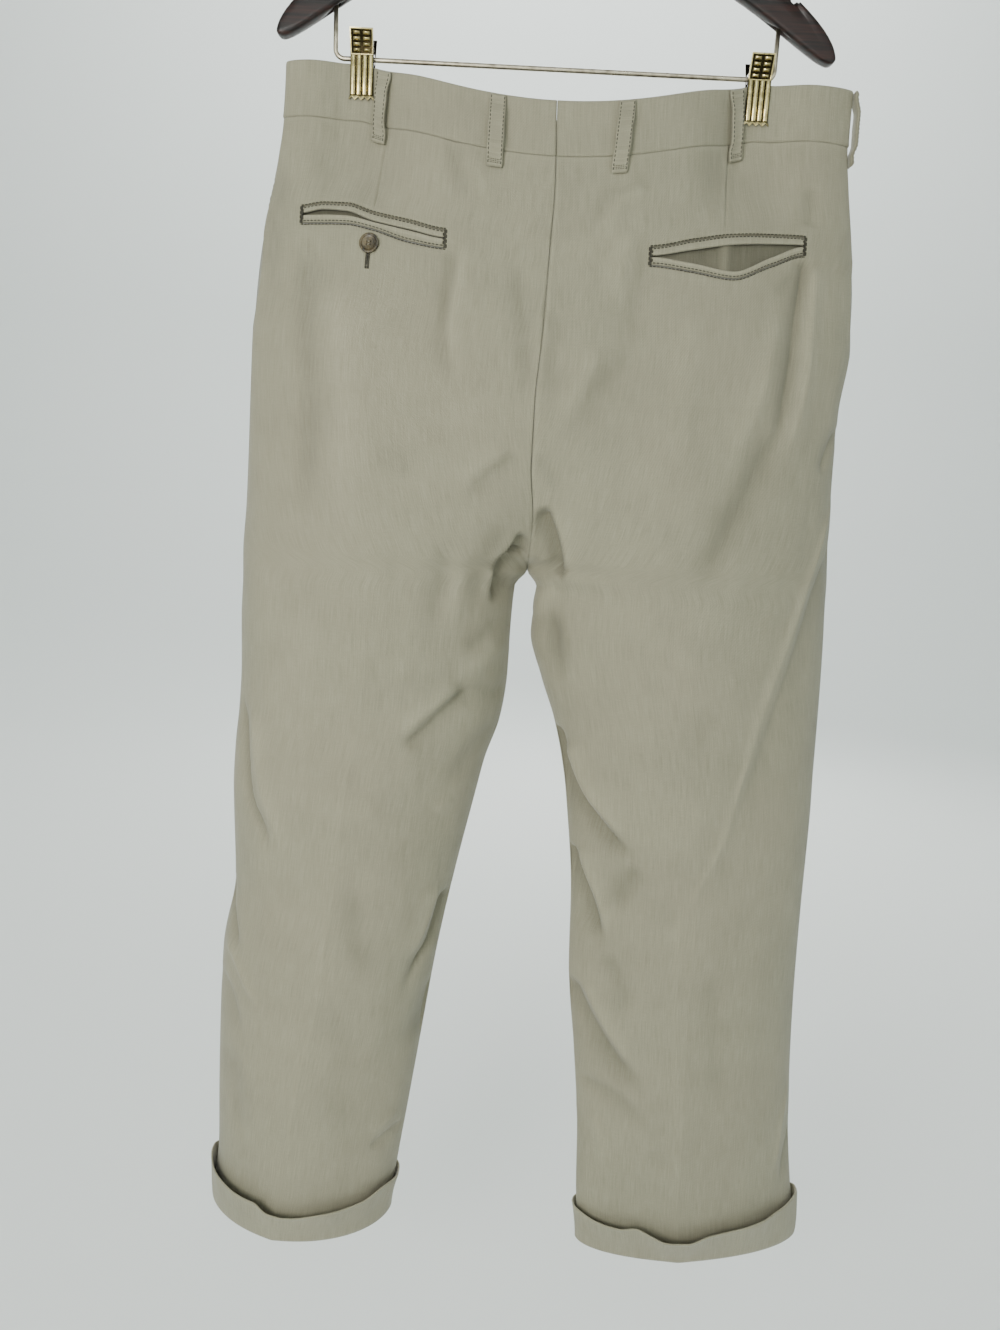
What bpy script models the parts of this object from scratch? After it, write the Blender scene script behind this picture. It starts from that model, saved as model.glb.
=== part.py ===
# Chinos with turn-up cuffs, hanging by the waistband from the clips of a wooden hanger.
# Metres, +Z up. The seat faces -Y and +X is the wearer's right.
# The origin is the top of the hook's inner curve, where it hangs on a rail.
# Heights are negative: they count down from that point.

import math

import bmesh
import bpy
from mathutils import Vector

MM = 0.001

# Cloth
CLOTH = 1.5 * MM            # panels: twill with its seam allowances
BAND_CLOTH = 2.4 * MM       # waistband: twill folded over its canvas
BAND_PROUD = 0.6 * MM
SEAM = 0.3 * MM             # clearance between neighbouring pieces
ROUNDNESS = 1.15            # 1 is an ellipse, more is flatter at the folds

# Heights of the main lines
WAIST_TOP = -190 * MM
WAIST_SEAM = -232 * MM
FORK_TOP = -440 * MM        # where the seat seam starts to curve under
CROTCH = -586 * MM
HEM = -1240 * MM

# The waistband sags between the clips and lies flat in them
SAG = 26 * MM
SAG_CURVE = 1.2
SAG_FROM, SAG_TO = -230 * MM, -560 * MM
CLIP_X = {"left": -153 * MM, "right": 163 * MM}
PINCH_DEPTH = 3.4 * MM
PINCH_FLAT = 10 * MM        # half the width that the clip presses flat
PINCH_WIDTH = 26 * MM
PINCH_FROM, PINCH_TO = -225 * MM, -320 * MM

# Turn-up cuffs
CUFF_HEIGHT = 37 * MM
CUFF_RISE = 13 * MM         # the top edge is higher at the outer side
CUFF_GAP = 2.6 * MM         # how far the top edge stands off the leg
CUFF_SEAT = 0.4 * MM

# Outline of both halves and depth of the seat side, in mm, at each height
OUTLINE_NAMES = ("z", "left outer", "left inner", "right inner", "right outer",
                 "left depth", "right depth", "front share")
OUTLINE = (
    (-190, -214.0, 3.0, 3.0, 239.0, 27, 27, 0.80),
    (-232, -216.0, 4.5, 4.5, 240.0, 33, 33, 0.80),
    (-260, -220.0, 5.0, 5.0, 244.0, 38, 38, 0.80),
    (-305, -230.0, 3.5, 3.5, 252.0, 46, 46, 0.80),
    (-350, -237.0, 2.0, 2.0, 259.0, 56, 56, 0.85),
    (-390, -240.5, 0.5, 0.5, 261.0, 64, 64, 0.85),
    (-440, -242.5, -2.0, -2.0, 257.0, 69, 69, 0.90),
    (-490, -244.0, -2.0, -2.0, 258.0, 70, 70, 0.90),
    (-540, -246.0, 2.0, 2.0, 261.0, 70, 70, 0.90),
    (-586, -249.0, 1.0, 1.0, 264.5, 69, 69, 0.90),
    (-600, -249.0, -9.0, 10.0, 265.0, 69, 67, 0.90),
    (-640, -250.5, -11.0, 7.0, 267.5, 68, 63, 0.90),
    (-680, -250.5, -11.5, 18.5, 269.5, 67, 60, 0.90),
    (-720, -252.5, -16.0, 33.0, 271.0, 66, 58, 0.90),
    (-760, -256.5, -28.0, 43.0, 272.5, 65, 56, 0.90),
    (-800, -258.5, -36.5, 49.5, 274.5, 64, 54, 0.90),
    (-880, -257.5, -52.5, 58.5, 276.5, 62, 50, 0.85),
    (-960, -270.0, -66.0, 61.5, 279.5, 60, 47, 0.80),
    (-1040, -274.5, -76.5, 71.5, 284.5, 58, 45, 0.75),
    (-1120, -277.0, -87.0, 80.0, 292.5, 58, 41, 0.70),
    (-1180, -278.0, -95.0, 83.0, 301.0, 58, 37, 0.70),
    (-1240, -283.5, -102.0, 87.5, 311.0, 59, 34, 0.75),
)

# How each leg hangs at the hem: its edges' places in Y, its drop, and where the
# pressed creases lie, as a share of the way from the side seam to the inseam
LEG_NAMES = ("outer y", "inner y", "hem drop", "crease")
LEG = {
    "left": (13, 2, 0, 0.44),
    "right": (6, -18, 9, 0.54),
}
SWING_FROM = -700 * MM
DROP_FROM = -950 * MM
CREASE_FROM, CREASE_FULL = -500 * MM, -700 * MM
CREASE_TURN_FROM = -880 * MM
CREASE_RIDGE = {"back": 4 * MM, "front": 6 * MM}
CREASE_WIDTH = 0.10         # share of the panel's width
PLEAT_DEPTH = 6 * MM
PLEAT_END = -420 * MM

PANEL_COLUMNS = 12          # even, plus one at each side of the clip
WAIST_GAP = 0.5 * MM
TORSO_ROWS = (-250, -275, -305, -345, -382, -440)
FORK_ROWS = 5
LEG_ROWS = 11
LEG_ROWS_FROM = CROTCH - 14 * MM
PROBE = 0.01                # step of s over which the cloth's direction is taken

# Back pockets, in mm: place across, top edge, mouth's two edges, bottom edge,
# and how far the lower welt stands out at the mouth
POCKET_NAMES = ("x", "top", "mouth top", "mouth bottom", "bottom", "stand out")
POCKETS = {
    "left": (
        (-197.5, -300.5, -307.2, -308.2, -315.5, 0.0),
        (-167.0, -297.5, -304.6, -307.0, -315.5, 0.6),
        (-137.0, -305.0, -312.4, -313.4, -320.0, 0.3),
        (-108.0, -311.0, -318.2, -319.4, -328.5, 0.0),
        (-78.0, -316.7, -323.6, -324.6, -332.5, 0.0),
    ),
    "right": (
        (81.5, -321.5, -329.0, -330.2, -337.5, 0.0),
        (117.0, -314.3, -322.5, -333.5, -340.5, 3.0),
        (148.0, -308.3, -316.5, -337.5, -344.0, 6.0),
        (180.0, -306.0, -313.5, -324.0, -331.5, 3.0),
        (208.5, -305.0, -312.0, -313.2, -321.0, 0.0),
    ),
}
SLOT_REACH = (-100 * MM, -6 * MM)   # the slot's cut runs straight through the seat, in Y
WELT_PROUD = 0.6 * MM
WELT_CLOTH = 1.4 * MM
FACING_CLOTH = 1.0 * MM
FACING_MARGIN = 4 * MM
BUTTON_PLACE = (-139 * MM, -330.5 * MM)
BUTTON_RADIUS = 7.8 * MM
BUTTON_SEAT = -0.2 * MM     # the panel's facets lie a little inside the true curve here
BUTTON_THICK = 3 * MM
BUTTON_SIDES = 20
# the button's rings, as shares of its radius and thickness, ending in the dish
BUTTON_RINGS = ((0.8, 0.0), (1.0, 0.35), (1.0, 0.7), (0.86, 1.0), (0.66, 0.72))
WAIST_BUTTON_RADIUS = 8.5 * MM
WAIST_BUTTON_IN = 14 * MM   # from the front edge

# Belt loops: half, face, and place across at the top and the bottom, in mm
# and the clearance under it, which is wider where the band bends into a clip
LOOPS = {
    "belt_loop_back_1": ("left", "back", -134.0, -137.5, 1.15),
    "belt_loop_back_2": ("left", "back", -43.0, -43.5, 0.6),
    "belt_loop_back_3": ("right", "back", 58.0, 54.0, 0.6),
    "belt_loop_back_4": ("right", "back", 144.5, 148.0, 1.15),
    "belt_loop_side_left": ("left", "front", -206.0, -208.0, 0.6),
    "belt_loop_side_right": ("right", "front", 250.0, 250.0, 0.6),
    "belt_loop_front_left": ("left", "front", -100.0, -101.0, 0.6),
    "belt_loop_front_right": ("right", "front", 112.0, 113.0, 0.6),
}
LOOP_WIDTH = 12 * MM
LOOP_CLOTH = 1.6 * MM
LOOP_TOP = 3 * MM           # below the waistband's top edge
LOOP_TAIL = 14 * MM         # below the waist seam
LOOP_BOW = 3.2 * MM
# share of the loop's height and of its bow
LOOP_BOW_STEPS = ((0.0, 0.0), (0.13, 0.0), (0.27, 1.0), (0.74, 1.0), (0.88, 0.0), (1.0, 0.0))

# Slant side pockets and the fly, on the front
SLANT_AT_WAIST = 44 * MM
SLANT_END = -395 * MM
FLY_WIDTH = 38 * MM
FLY_OVERLAP = 4 * MM
FLY_END = -405 * MM
FLY_CLOTH = 1.2 * MM
FLY_CURVE = 5               # higher keeps the flap's width further down

# Hanger
ARM_REACH = 222 * MM
ARM_TOP_CURVE = 1.85        # drop of the shoulder curve per metre squared
ARM_CENTRE = -78 * MM
ARM_HEIGHT = 25 * MM
HUB_HEIGHT = 34 * MM
HUB_REACH = 45 * MM
WOOD = 14 * MM
WOOD_EDGE = 3 * MM
ARM_STEPS = 24
TIP_POWER = 14              # higher makes the arm's end blunter
NOTCH_X = 186 * MM
NOTCH_RADIUS = 5 * MM
HOOK_WIRE = 2.0 * MM        # radius of the wire
HOOK_RADIUS = 18 * MM       # inside
HOOK_START = -38            # degrees, where the neck's bend runs into the curve
HOOK_MOUTH = 205            # degrees, where the curve's free end is
HOOK_BEND = 9 * MM          # height of the S bend under the curve
HOOK_PULL = 8 * MM
NECK_IN_WOOD = 8 * MM
BAR_WIRE = 1.9 * MM
BAR_HEIGHT = -185.6 * MM
BAR_HALF = 175 * MM
BAR_BEND = 7 * MM
BAR_IN_WOOD = 10 * MM
CLIP_WIDTH = 18.5 * MM
CLIP_TOP = {"left": -167 * MM, "right": -170 * MM}
CLIP_BOTTOM = {"left": -217 * MM, "right": -221 * MM}
CLIP_PLATE = 1.2 * MM
CLIP_RIB = 0.7 * MM
CLIP_RIBS = 4
CLIP_JAW = 9 * MM
CLIP_OPEN = 12 * MM         # half the width between the leaves at the top
SPRING_RADIUS = 3.9 * MM
SPRING_HALF = 4.5 * MM

SIGN = {"left": -1, "right": 1, "back": -1, "front": 1}


def smooth(value, low, high):
    share = min(max((value - low) / (high - low), 0.0), 1.0)
    return share * share * (3 - 2 * share)


def read_table(rows, names, wanted, place):
    """Smooth value of a column at a place, the first column being the place."""
    column = names.index(wanted)
    ordered = sorted(rows)
    keys = [row[0] for row in ordered]
    values = [row[column] for row in ordered]
    spot = min(max(place, keys[0]), keys[-1])
    index = max(i for i in range(len(keys) - 1) if keys[i] <= spot or i == 0)
    step = keys[index + 1] - keys[index]
    share = (spot - keys[index]) / step

    def slope(i):
        if i == 0 or i == len(keys) - 1:
            return 0.0
        before = (values[i] - values[i - 1]) / (keys[i] - keys[i - 1])
        after = (values[i + 1] - values[i]) / (keys[i + 1] - keys[i])
        return 0.0 if before * after <= 0 else 2 * before * after / (before + after)

    start, end = values[index], values[index + 1]
    square, cube = share ** 2, share ** 3
    return (start * (2 * cube - 3 * square + 1) + end * (3 * square - 2 * cube)
            + slope(index) * step * (cube - 2 * square + share)
            + slope(index + 1) * step * (cube - square))


def outline(name, z):
    value = read_table(OUTLINE, OUTLINE_NAMES, name, z / MM)
    return value if name == "front share" else value * MM


def leg_value(half, name):
    value = LEG[half][LEG_NAMES.index(name)]
    return value if name == "crease" else value * MM


# --- the cloth's form ---

def edges(half, z):
    """Places across of the side fold and of the centre seam or inseam."""
    inner = outline(half + " inner", z) + SIGN[half] * SEAM / 2
    return outline(half + " outer", z), inner


def turn(z):
    """Angle that one half of the section spans: a quarter turn down to the
    fork, growing to a half turn at the crotch, where each leg is its own tube."""
    fork = min(max((FORK_TOP - z) / (FORK_TOP - CROTCH), 0.0), 1.0)
    return math.pi / 2 + math.asin(fork)


def sag(x, z):
    centre = (CLIP_X["left"] + CLIP_X["right"]) / 2
    reach = (CLIP_X["right"] - CLIP_X["left"]) / 2
    across = min(abs(x - centre) / reach, 1.0)
    return SAG * (1 - across ** 2) ** SAG_CURVE * smooth(z, SAG_TO, SAG_FROM)


def crease_at(half, z):
    low = leg_value(half, "crease")
    return 0.5 + (low - 0.5) * smooth(-z, -CREASE_TURN_FROM, -HEM)


def ridge(half, face, s, z):
    """Pressed crease, with the front's pleat running into it."""
    away = s - crease_at(half, z)
    on_leg = smooth(-z, -CREASE_FROM, -CREASE_FULL)
    height = CREASE_RIDGE[face] * math.exp(-abs(away) / CREASE_WIDTH) * on_leg
    if face == "front":
        width = CREASE_WIDTH if away < 0 else CREASE_WIDTH / 3
        pleat = smooth(z, PLEAT_END, WAIST_SEAM)
        height += PLEAT_DEPTH * pleat * math.exp(-abs(away) / width)
    return height


def skin(half, face, s, z):
    """Point on the cloth's outer face: s runs from the side fold, 0, to the
    centre seam or inseam, 1, and z is the height before the waist sags."""
    outer, inner = edges(half, z)
    angle = turn(z)
    x = outer + (inner - outer) * (1 - math.cos(angle * s)) / (1 - math.cos(angle))
    depth = outline(half + " depth", z)
    if face == "front":
        depth *= outline("front share", z)
    depth *= max(math.sin(angle * s), 0.0) ** ROUNDNESS
    depth += ridge(half, face, s, z) * math.sin(math.pi * s)
    from_clip = max(abs(x - CLIP_X[half]) - PINCH_FLAT, 0.0)
    near_clip = math.exp(-(from_clip / PINCH_WIDTH) ** 2)
    near_clip *= smooth(z, PINCH_TO, PINCH_FROM)
    depth += (PINCH_DEPTH - depth) * near_clip
    low = smooth(-z, -SWING_FROM, -HEM)
    across = (x - outer) / (inner - outer)
    middle = leg_value(half, "outer y") * (1 - across) + leg_value(half, "inner y") * across
    drop = leg_value(half, "hem drop") * smooth(-z, -DROP_FROM, -HEM)
    return Vector((x, middle * low + SIGN[face] * depth, z - sag(x, z) - drop))


def frame_at(half, face, s, z):
    """Point, direction across and outward normal of the cloth's outer face."""
    s_low, s_high = max(s - PROBE, 0.0), min(s + PROBE, 1.0)
    across = (skin(half, face, s_high, z) - skin(half, face, s_low, z)).normalized()
    along = (skin(half, face, s, z + MM) - skin(half, face, s, z - MM)).normalized()
    normal = across.cross(along).normalized() * SIGN[half] * SIGN[face]
    return skin(half, face, s, z), across, normal


def cloth_point(half, face, s, z, out):
    """Point moved out from the skin, kept half a seam clear at the edges."""
    point, across, normal = frame_at(half, face, s, z)
    point = point + normal * out
    if s <= 0.0:
        point += across * SEAM / 2
    if s >= 1.0 and turn(z) > math.pi / 2 + 0.01:
        point -= across * SEAM / 2
    return point


def find_s(half, x, z):
    """The s of a place across."""
    outer, inner = edges(half, z)
    angle = turn(z)
    share = min(max((x - outer) / (inner - outer), 0.0), 1.0)
    return math.acos(1 - share * (1 - math.cos(angle))) / angle


def place_on(half, face, x, z, out):
    """Point over the cloth at a real place across and height."""
    flat_z = z
    for _ in range(6):
        flat_z = z + sag(x, flat_z)
    point, _, normal = frame_at(half, face, find_s(half, x, flat_z), flat_z)
    return point + normal * out


# --- building ---

def material(name, colour, roughness, metallic=0.0):
    item = bpy.data.materials.get(name) or bpy.data.materials.new(name)
    item.use_nodes = True
    shader = item.node_tree.nodes["Principled BSDF"]
    shader.inputs["Base Color"].default_value = (*colour, 1)
    shader.inputs["Roughness"].default_value = roughness
    shader.inputs["Metallic"].default_value = metallic
    return item


def twill(name):
    return material("twill " + name, (0.42, 0.385, 0.31), 0.9)


def brass(name):
    return material("brass " + name, (0.70, 0.52, 0.22), 0.3, 1.0)


def add_mesh(name, points, faces, finish, soft=False):
    mesh = bpy.data.meshes.new(name)
    mesh.from_pydata([tuple(point) for point in points], [], faces)
    shape = bmesh.new()
    shape.from_mesh(mesh)
    bmesh.ops.recalc_face_normals(shape, faces=shape.faces)
    shape.to_mesh(mesh)
    shape.free()
    mesh.materials.append(finish)
    if soft:
        mesh.shade_smooth()
    item = bpy.data.objects.new(name, mesh)
    bpy.context.collection.objects.link(item)
    return item


def add_wall(name, outside, inside, finish, split=False):
    """Closed wall between two grids of points of the same size."""
    rows, columns = len(outside), len(outside[0])
    points = [point for row in outside + inside for point in row]
    count = rows * columns

    def at(row, column, layer):
        return layer * count + row * columns + column

    faces = []
    for layer in (0, 1):
        for row in range(rows - 1):
            for column in range(columns - 1):
                quad = [at(row, column, layer), at(row, column + 1, layer),
                        at(row + 1, column + 1, layer), at(row + 1, column, layer)]
                # both sides are cut the same way, or large twisted facets would cross
                for piece in ((quad[:3], quad[:1] + quad[2:]) if split else (quad,)):
                    faces.append(piece if layer else piece[::-1])
    rim = [(0, c) for c in range(columns)] + [(r, columns - 1) for r in range(1, rows)]
    rim += [(rows - 1, c) for c in reversed(range(columns - 1))]
    rim += [(r, 0) for r in reversed(range(1, rows - 1))]
    for first, second in zip(rim, rim[1:] + rim[:1]):
        faces.append([at(*first, 0), at(*second, 0), at(*second, 1), at(*first, 1)])
    return add_mesh(name, points, faces, finish)


def add_ring(name, sections, finish, closed=True):
    """Body swept through closed sections, joined end to end or capped."""
    size = len(sections[0])
    points = [point for section in sections for point in section]
    count = len(sections)
    faces = []
    for i in range(count if closed else count - 1):
        following = (i + 1) % count
        for k in range(size):
            other = (k + 1) % size
            faces.append([i * size + k, i * size + other, following * size + other, following * size + k])
    if not closed:
        faces.append(list(range(size)))
        faces.append([(count - 1) * size + k for k in range(size)])
    return add_mesh(name, points, faces, finish, soft=True)


def add_wire(name, route, radius, sides, finish):
    """Round wire along a route that stays in the XZ plane."""
    sections = []
    for i, point in enumerate(route):
        before, after = route[max(i - 1, 0)], route[min(i + 1, len(route) - 1)]
        along = (after - before).normalized()
        side = Vector((0, 1, 0))
        up = along.cross(side).normalized()
        sections.append([point + (side * math.cos(turned) + up * math.sin(turned)) * radius
                         for turned in (2 * math.pi * k / sides for k in range(sides))])
    return add_ring(name, sections, finish, closed=False)


def cut(item, cutter, solver="EXACT"):
    cutter.display_type = "WIRE"
    cutter.hide_render = True
    tool = item.modifiers.new("cut", "BOOLEAN")
    tool.object = cutter
    tool.operation = "DIFFERENCE"
    tool.solver = solver


def panel_rows():
    rows = [WAIST_SEAM - WAIST_GAP] + [z * MM for z in TORSO_ROWS]
    for i in range(1, FORK_ROWS + 1):
        rows.append(FORK_TOP - (FORK_TOP - CROTCH) * math.sin(math.pi / 2 * i / FORK_ROWS))
    first, last = LEG_ROWS_FROM, HEM + CUFF_SEAT + CLOTH
    rows += [first + (last - first) * i / LEG_ROWS for i in range(LEG_ROWS + 1)]
    return rows


def panel_columns(half, face):
    """Even columns and the two beside the clip, before the crease bends them."""
    columns = [i / PANEL_COLUMNS for i in range(PANEL_COLUMNS + 1)]
    start = slant_s(half, WAIST_SEAM) if face == "front" else 0.0
    for side in (-1, 1):
        beside = find_s(half, CLIP_X[half] + side * PINCH_FLAT, WAIST_SEAM)
        columns.append((beside - start) / (1 - start))
    return sorted(columns)


def panel_s(half, face, z, column):
    """The s of a column: the middle one lies on the crease, and the front's
    first one on the slant pocket's edge."""
    crease = crease_at(half, z)
    if column <= 0.5:
        s = crease * column * 2
    else:
        s = crease + (1 - crease) * (column * 2 - 1)
    if face == "front" and z > SLANT_END:
        start = slant_s(half, z)
        s = start + s * (1 - start)
    return s


def slant_s(half, z):
    outer = edges(half, z)[0]
    away = SLANT_AT_WAIST * (z - SLANT_END) / (WAIST_SEAM - SLANT_END)
    return find_s(half, outer - SIGN[half] * max(away, 0.0), z)


def add_panel(half, face):
    grids = []
    for out in (0.0, -CLOTH):
        grids.append([[cloth_point(half, face, panel_s(half, face, z, column), z, out)
                       for column in panel_columns(half, face)] for z in panel_rows()])
    name = face + "_" + half
    return add_wall(name, grids[0], grids[1], twill(name))


def add_waistband(half):
    start = slant_s(half, WAIST_SEAM)
    spots = [("back", s) for s in reversed(panel_columns(half, "back"))]
    spots += [("front", start / 3), ("front", start * 2 / 3)]
    spots += [("front", start + s * (1 - start)) for s in panel_columns(half, "front")]
    heights = [WAIST_TOP, (WAIST_TOP + WAIST_SEAM) / 2, WAIST_SEAM]
    grids = []
    for out in (BAND_PROUD, BAND_PROUD - BAND_CLOTH):
        grid = []
        for z in heights:
            row = []
            for face, s in spots:
                point, _, normal = frame_at(half, face, s, z)
                row.append(point + normal * out)
            grid.append(row)
        grids.append(grid)
    name = "waistband_" + half
    return add_wall(name, grids[0], grids[1], twill(name))


def add_cuff(half):
    """Band turned up outside the leg, with the fold under the leg's edge."""
    spots = [("back", panel_s(half, "back", HEM, column)) for column in panel_columns(half, "back")]
    around = [("front", panel_s(half, "front", HEM, column)) for column in panel_columns(half, "front")]
    spots += around[-2:0:-1]
    sections = []
    for face, s in spots:
        top = HEM + CUFF_HEIGHT + CUFF_RISE * max(1 - 2 * s, 0.0) ** 2
        profile = ((CUFF_SEAT + CLOTH, HEM), (CUFF_GAP + CLOTH, top), (CUFF_GAP, top),
                   (CUFF_SEAT, HEM + CLOTH), (-CLOTH, HEM + CLOTH), (-CLOTH, HEM))
        section = []
        for out, z in profile:
            point, _, normal = frame_at(half, face, s, z)
            level = Vector((normal.x, normal.y, 0)).normalized()
            section.append(point + level * out)
        sections.append(section)
    name = "cuff_" + half
    return add_ring(name, sections, twill(name))


def add_loop(name, half, face, top_x, bottom_x, seat):
    low, high = WAIST_SEAM - LOOP_TAIL, WAIST_TOP - LOOP_TOP
    at_side = abs(top_x * MM) > abs(edges(half, WAIST_SEAM)[0])
    outside, inside = [], []
    for share, bow in LOOP_BOW_STEPS:
        z = low + (high - low) * share
        x = (bottom_x + (top_x - bottom_x) * share) * MM
        out = BAND_PROUD + seat * MM + LOOP_BOW * bow
        row = []
        for side in (-1, 0, 1):
            away = side * LOOP_WIDTH / 2
            if at_side:
                point, across, normal = frame_at(half, face, 0.0, z)
                point = point + across * away
            else:
                point, across, normal = frame_at(half, face, find_s(half, x + away, z), z)
            row.append((point, normal))
        inside.append([point + normal * out for point, normal in row])
        outside.append([point + normal * (out + LOOP_CLOTH) for point, normal in row])
    return add_wall(name, outside, inside, twill(name))


def pocket_value(half, name, x):
    return read_table(POCKETS[half], POCKET_NAMES, name, x / MM) * MM


def pocket_stations(half, margin=0.0, count=8):
    ends = sorted(row[0] * MM for row in POCKETS[half])
    first, last = ends[0] - margin, ends[-1] + margin
    return [first + (last - first) * i / count for i in range(count + 1)]


def add_pocket(half, panel):
    """Two welts set in a slot of the back panel, with the facing behind them."""
    def strip(name, upper, lower, outs, thick, margin=0.0, steps=1):
        """Strip between two edges, each a column of the table moved by a distance."""
        outside, inside = [], []
        for step in range(steps + 1):
            share = step / steps
            row_out, row_in = [], []
            for x in pocket_stations(half, margin):
                high = pocket_value(half, upper[0], x) + upper[1]
                low = pocket_value(half, lower[0], x) + lower[1]
                z = high + (low - high) * share
                out = outs[0] + outs[1] * (1 - share) * pocket_value(half, "stand out", x) / MM
                row_out.append(place_on(half, "back", x, z, out))
                row_in.append(place_on(half, "back", x, z, out - thick))
            outside.append(row_out)
            inside.append(row_in)
        return add_wall(name, outside, inside, twill(name))

    start = "pocket_" + half
    stations = pocket_stations(half, SEAM)
    upper = [Vector((x, 0, pocket_value(half, "top", x) + SEAM)) for x in stations]
    lower = [Vector((x, 0, pocket_value(half, "bottom", x) - SEAM)) for x in stations]
    border = upper + lower[::-1]
    ends = [[point + Vector((0, y, 0)) for point in border] for y in SLOT_REACH]
    slot = add_ring(start + "_slot", ends, twill(start), closed=False)
    cut(panel, slot, "MANIFOLD")
    strip(start + "_welt_upper", ("top", 0), ("mouth top", 0), (WELT_PROUD, 0), WELT_CLOTH)
    strip(start + "_welt_lower", ("mouth bottom", 0), ("bottom", 0), (WELT_PROUD, MM), WELT_CLOTH)
    strip(start + "_facing", ("top", FACING_MARGIN), ("bottom", -FACING_MARGIN),
          (-CLOTH - 4 * SEAM, 0), FACING_CLOTH, FACING_MARGIN, 3)


def add_button(name, half, face, x, z, seat, radius):
    """Disc with a dished top, lying on the cloth."""
    centre = place_on(half, face, x, z, seat)
    rise = place_on(half, face, x, z, seat + MM)
    outward = (rise - centre).normalized()
    side = outward.cross(Vector((0, 0, 1))).normalized()
    up = side.cross(outward)
    rings = []
    for share, height in BUTTON_RINGS:
        ring = []
        for k in range(BUTTON_SIDES):
            angle = 2 * math.pi * k / BUTTON_SIDES
            away = side * math.cos(angle) + up * math.sin(angle)
            ring.append(centre + outward * BUTTON_THICK * height + away * radius * share)
        rings.append(ring)
    finish = material("horn " + name, (0.20, 0.12, 0.05), 0.35)
    return add_ring(name, rings, finish, closed=False)


def add_slant_facing(half):
    """Back of the slant pocket, showing beside the front panel's cut edge."""
    rows = [WAIST_SEAM - 2 * WAIST_GAP] + [z for z in panel_rows()[1:] if z > SLANT_END]
    second = panel_columns(half, "front")[1]
    grids = []
    for out in (-CLOTH - SEAM, -CLOTH - SEAM - FACING_CLOTH):
        grid = []
        for z in rows:
            start = slant_s(half, z)
            under = panel_s(half, "front", z, second)
            grid.append([cloth_point(half, "front", s, z, out) for s in (0.0, start / 2, start, under)])
        grids.append(grid)
    name = "front_pocket_facing_" + half
    return add_wall(name, grids[0], grids[1], twill(name), split=True)


def add_fly():
    """Fly flap: the left front's edge over the right front, ending in a curve."""
    top = WAIST_SEAM - WAIST_GAP
    rows = [z for z in panel_rows() if z > FLY_END] + [FLY_END]
    grids = []
    for out in (2 * SEAM + FLY_CLOTH, 2 * SEAM):
        grid = []
        for z in rows:
            share = (z - top) / (FLY_END - top)
            centre = edges("right", z)[1]
            reach = FLY_WIDTH * math.sqrt(1 - (share * 0.98) ** FLY_CURVE)
            row = []
            for i in range(7):
                x = centre + FLY_OVERLAP - (reach + FLY_OVERLAP) * i / 6
                half = "right" if x > centre else "left"
                point, _, normal = frame_at(half, "front", find_s(half, x, z), z)
                row.append(point + normal * out)
            grid.append(row)
        grids.append(grid)
    return add_wall("fly_flap", grids[0], grids[1], twill("fly_flap"))


# --- hanger ---

def arm_centre(x):
    return ARM_CENTRE - ARM_TOP_CURVE * x * x


def add_wood():
    """Arched arms with rounded tips, one extruded outline."""
    upper, lower = [], []
    for i in range(ARM_STEPS + 1):
        angle = math.pi * i / ARM_STEPS
        x = -ARM_REACH * math.cos(angle)
        swell = HUB_HEIGHT - ARM_HEIGHT
        height = ARM_HEIGHT + swell * smooth(-abs(x), -HUB_REACH * 2, 0.0)
        height *= math.sqrt(max(1 - (abs(x) / ARM_REACH) ** TIP_POWER, 0.0))
        tilt = math.atan(2 * ARM_TOP_CURVE * x)
        centre = arm_centre(x)
        half = height / 2 / math.cos(tilt)
        upper.append(Vector((x, -WOOD / 2, centre + half)))
        lower.append(Vector((x, -WOOD / 2, centre - half)))
    outline_points = upper + lower[-2:0:-1]
    count = len(outline_points)
    back = [point + Vector((0, WOOD, 0)) for point in outline_points]
    faces = [list(range(count)), list(range(count, 2 * count))]
    for i in range(count):
        following = (i + 1) % count
        faces.append([i, following, count + following, count + i])
    finish = material("dark wood", (0.018, 0.008, 0.006), 0.3)
    item = add_mesh("hanger_wood", outline_points + back, faces, finish)
    edge = item.modifiers.new("edge", "BEVEL")
    edge.width = WOOD_EDGE
    edge.segments = 2
    edge.limit_method = "ANGLE"
    edge.angle_limit = math.radians(50)
    for side in (-1, 1):
        x = side * NOTCH_X
        tilt = math.atan(2 * ARM_TOP_CURVE * x)
        top = arm_centre(x) + ARM_HEIGHT / 2 / math.cos(tilt)
        cut(item, add_rod("notch_%d" % side, Vector((x, 0, top + MM)), (math.pi / 2, 0, 0),
                          NOTCH_RADIUS, WOOD * 2))
        hole_top = arm_centre(BAR_HALF) - ARM_HEIGHT / 2 + BAR_IN_WOOD / 2
        cut(item, add_rod("bar_hole_%d" % side, Vector((side * BAR_HALF, 0, hole_top - 20 * MM)),
                          (0, 0, 0), BAR_WIRE + SEAM, 40 * MM))
    neck = arm_centre(0) + HUB_HEIGHT / 2
    cut(item, add_rod("neck_hole", Vector((0, 0, neck)), (0, 0, 0), HOOK_WIRE + SEAM,
                      2 * (NECK_IN_WOOD + 2 * MM)))
    return item


def add_rod(name, centre, turned, radius, length):
    """Straight round body, also used as a cutter."""
    bpy.ops.mesh.primitive_cylinder_add(vertices=16, radius=radius, depth=length,
                                        location=centre, rotation=turned)
    item = bpy.context.object
    item.name = name
    item.data.name = name
    return item


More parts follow.
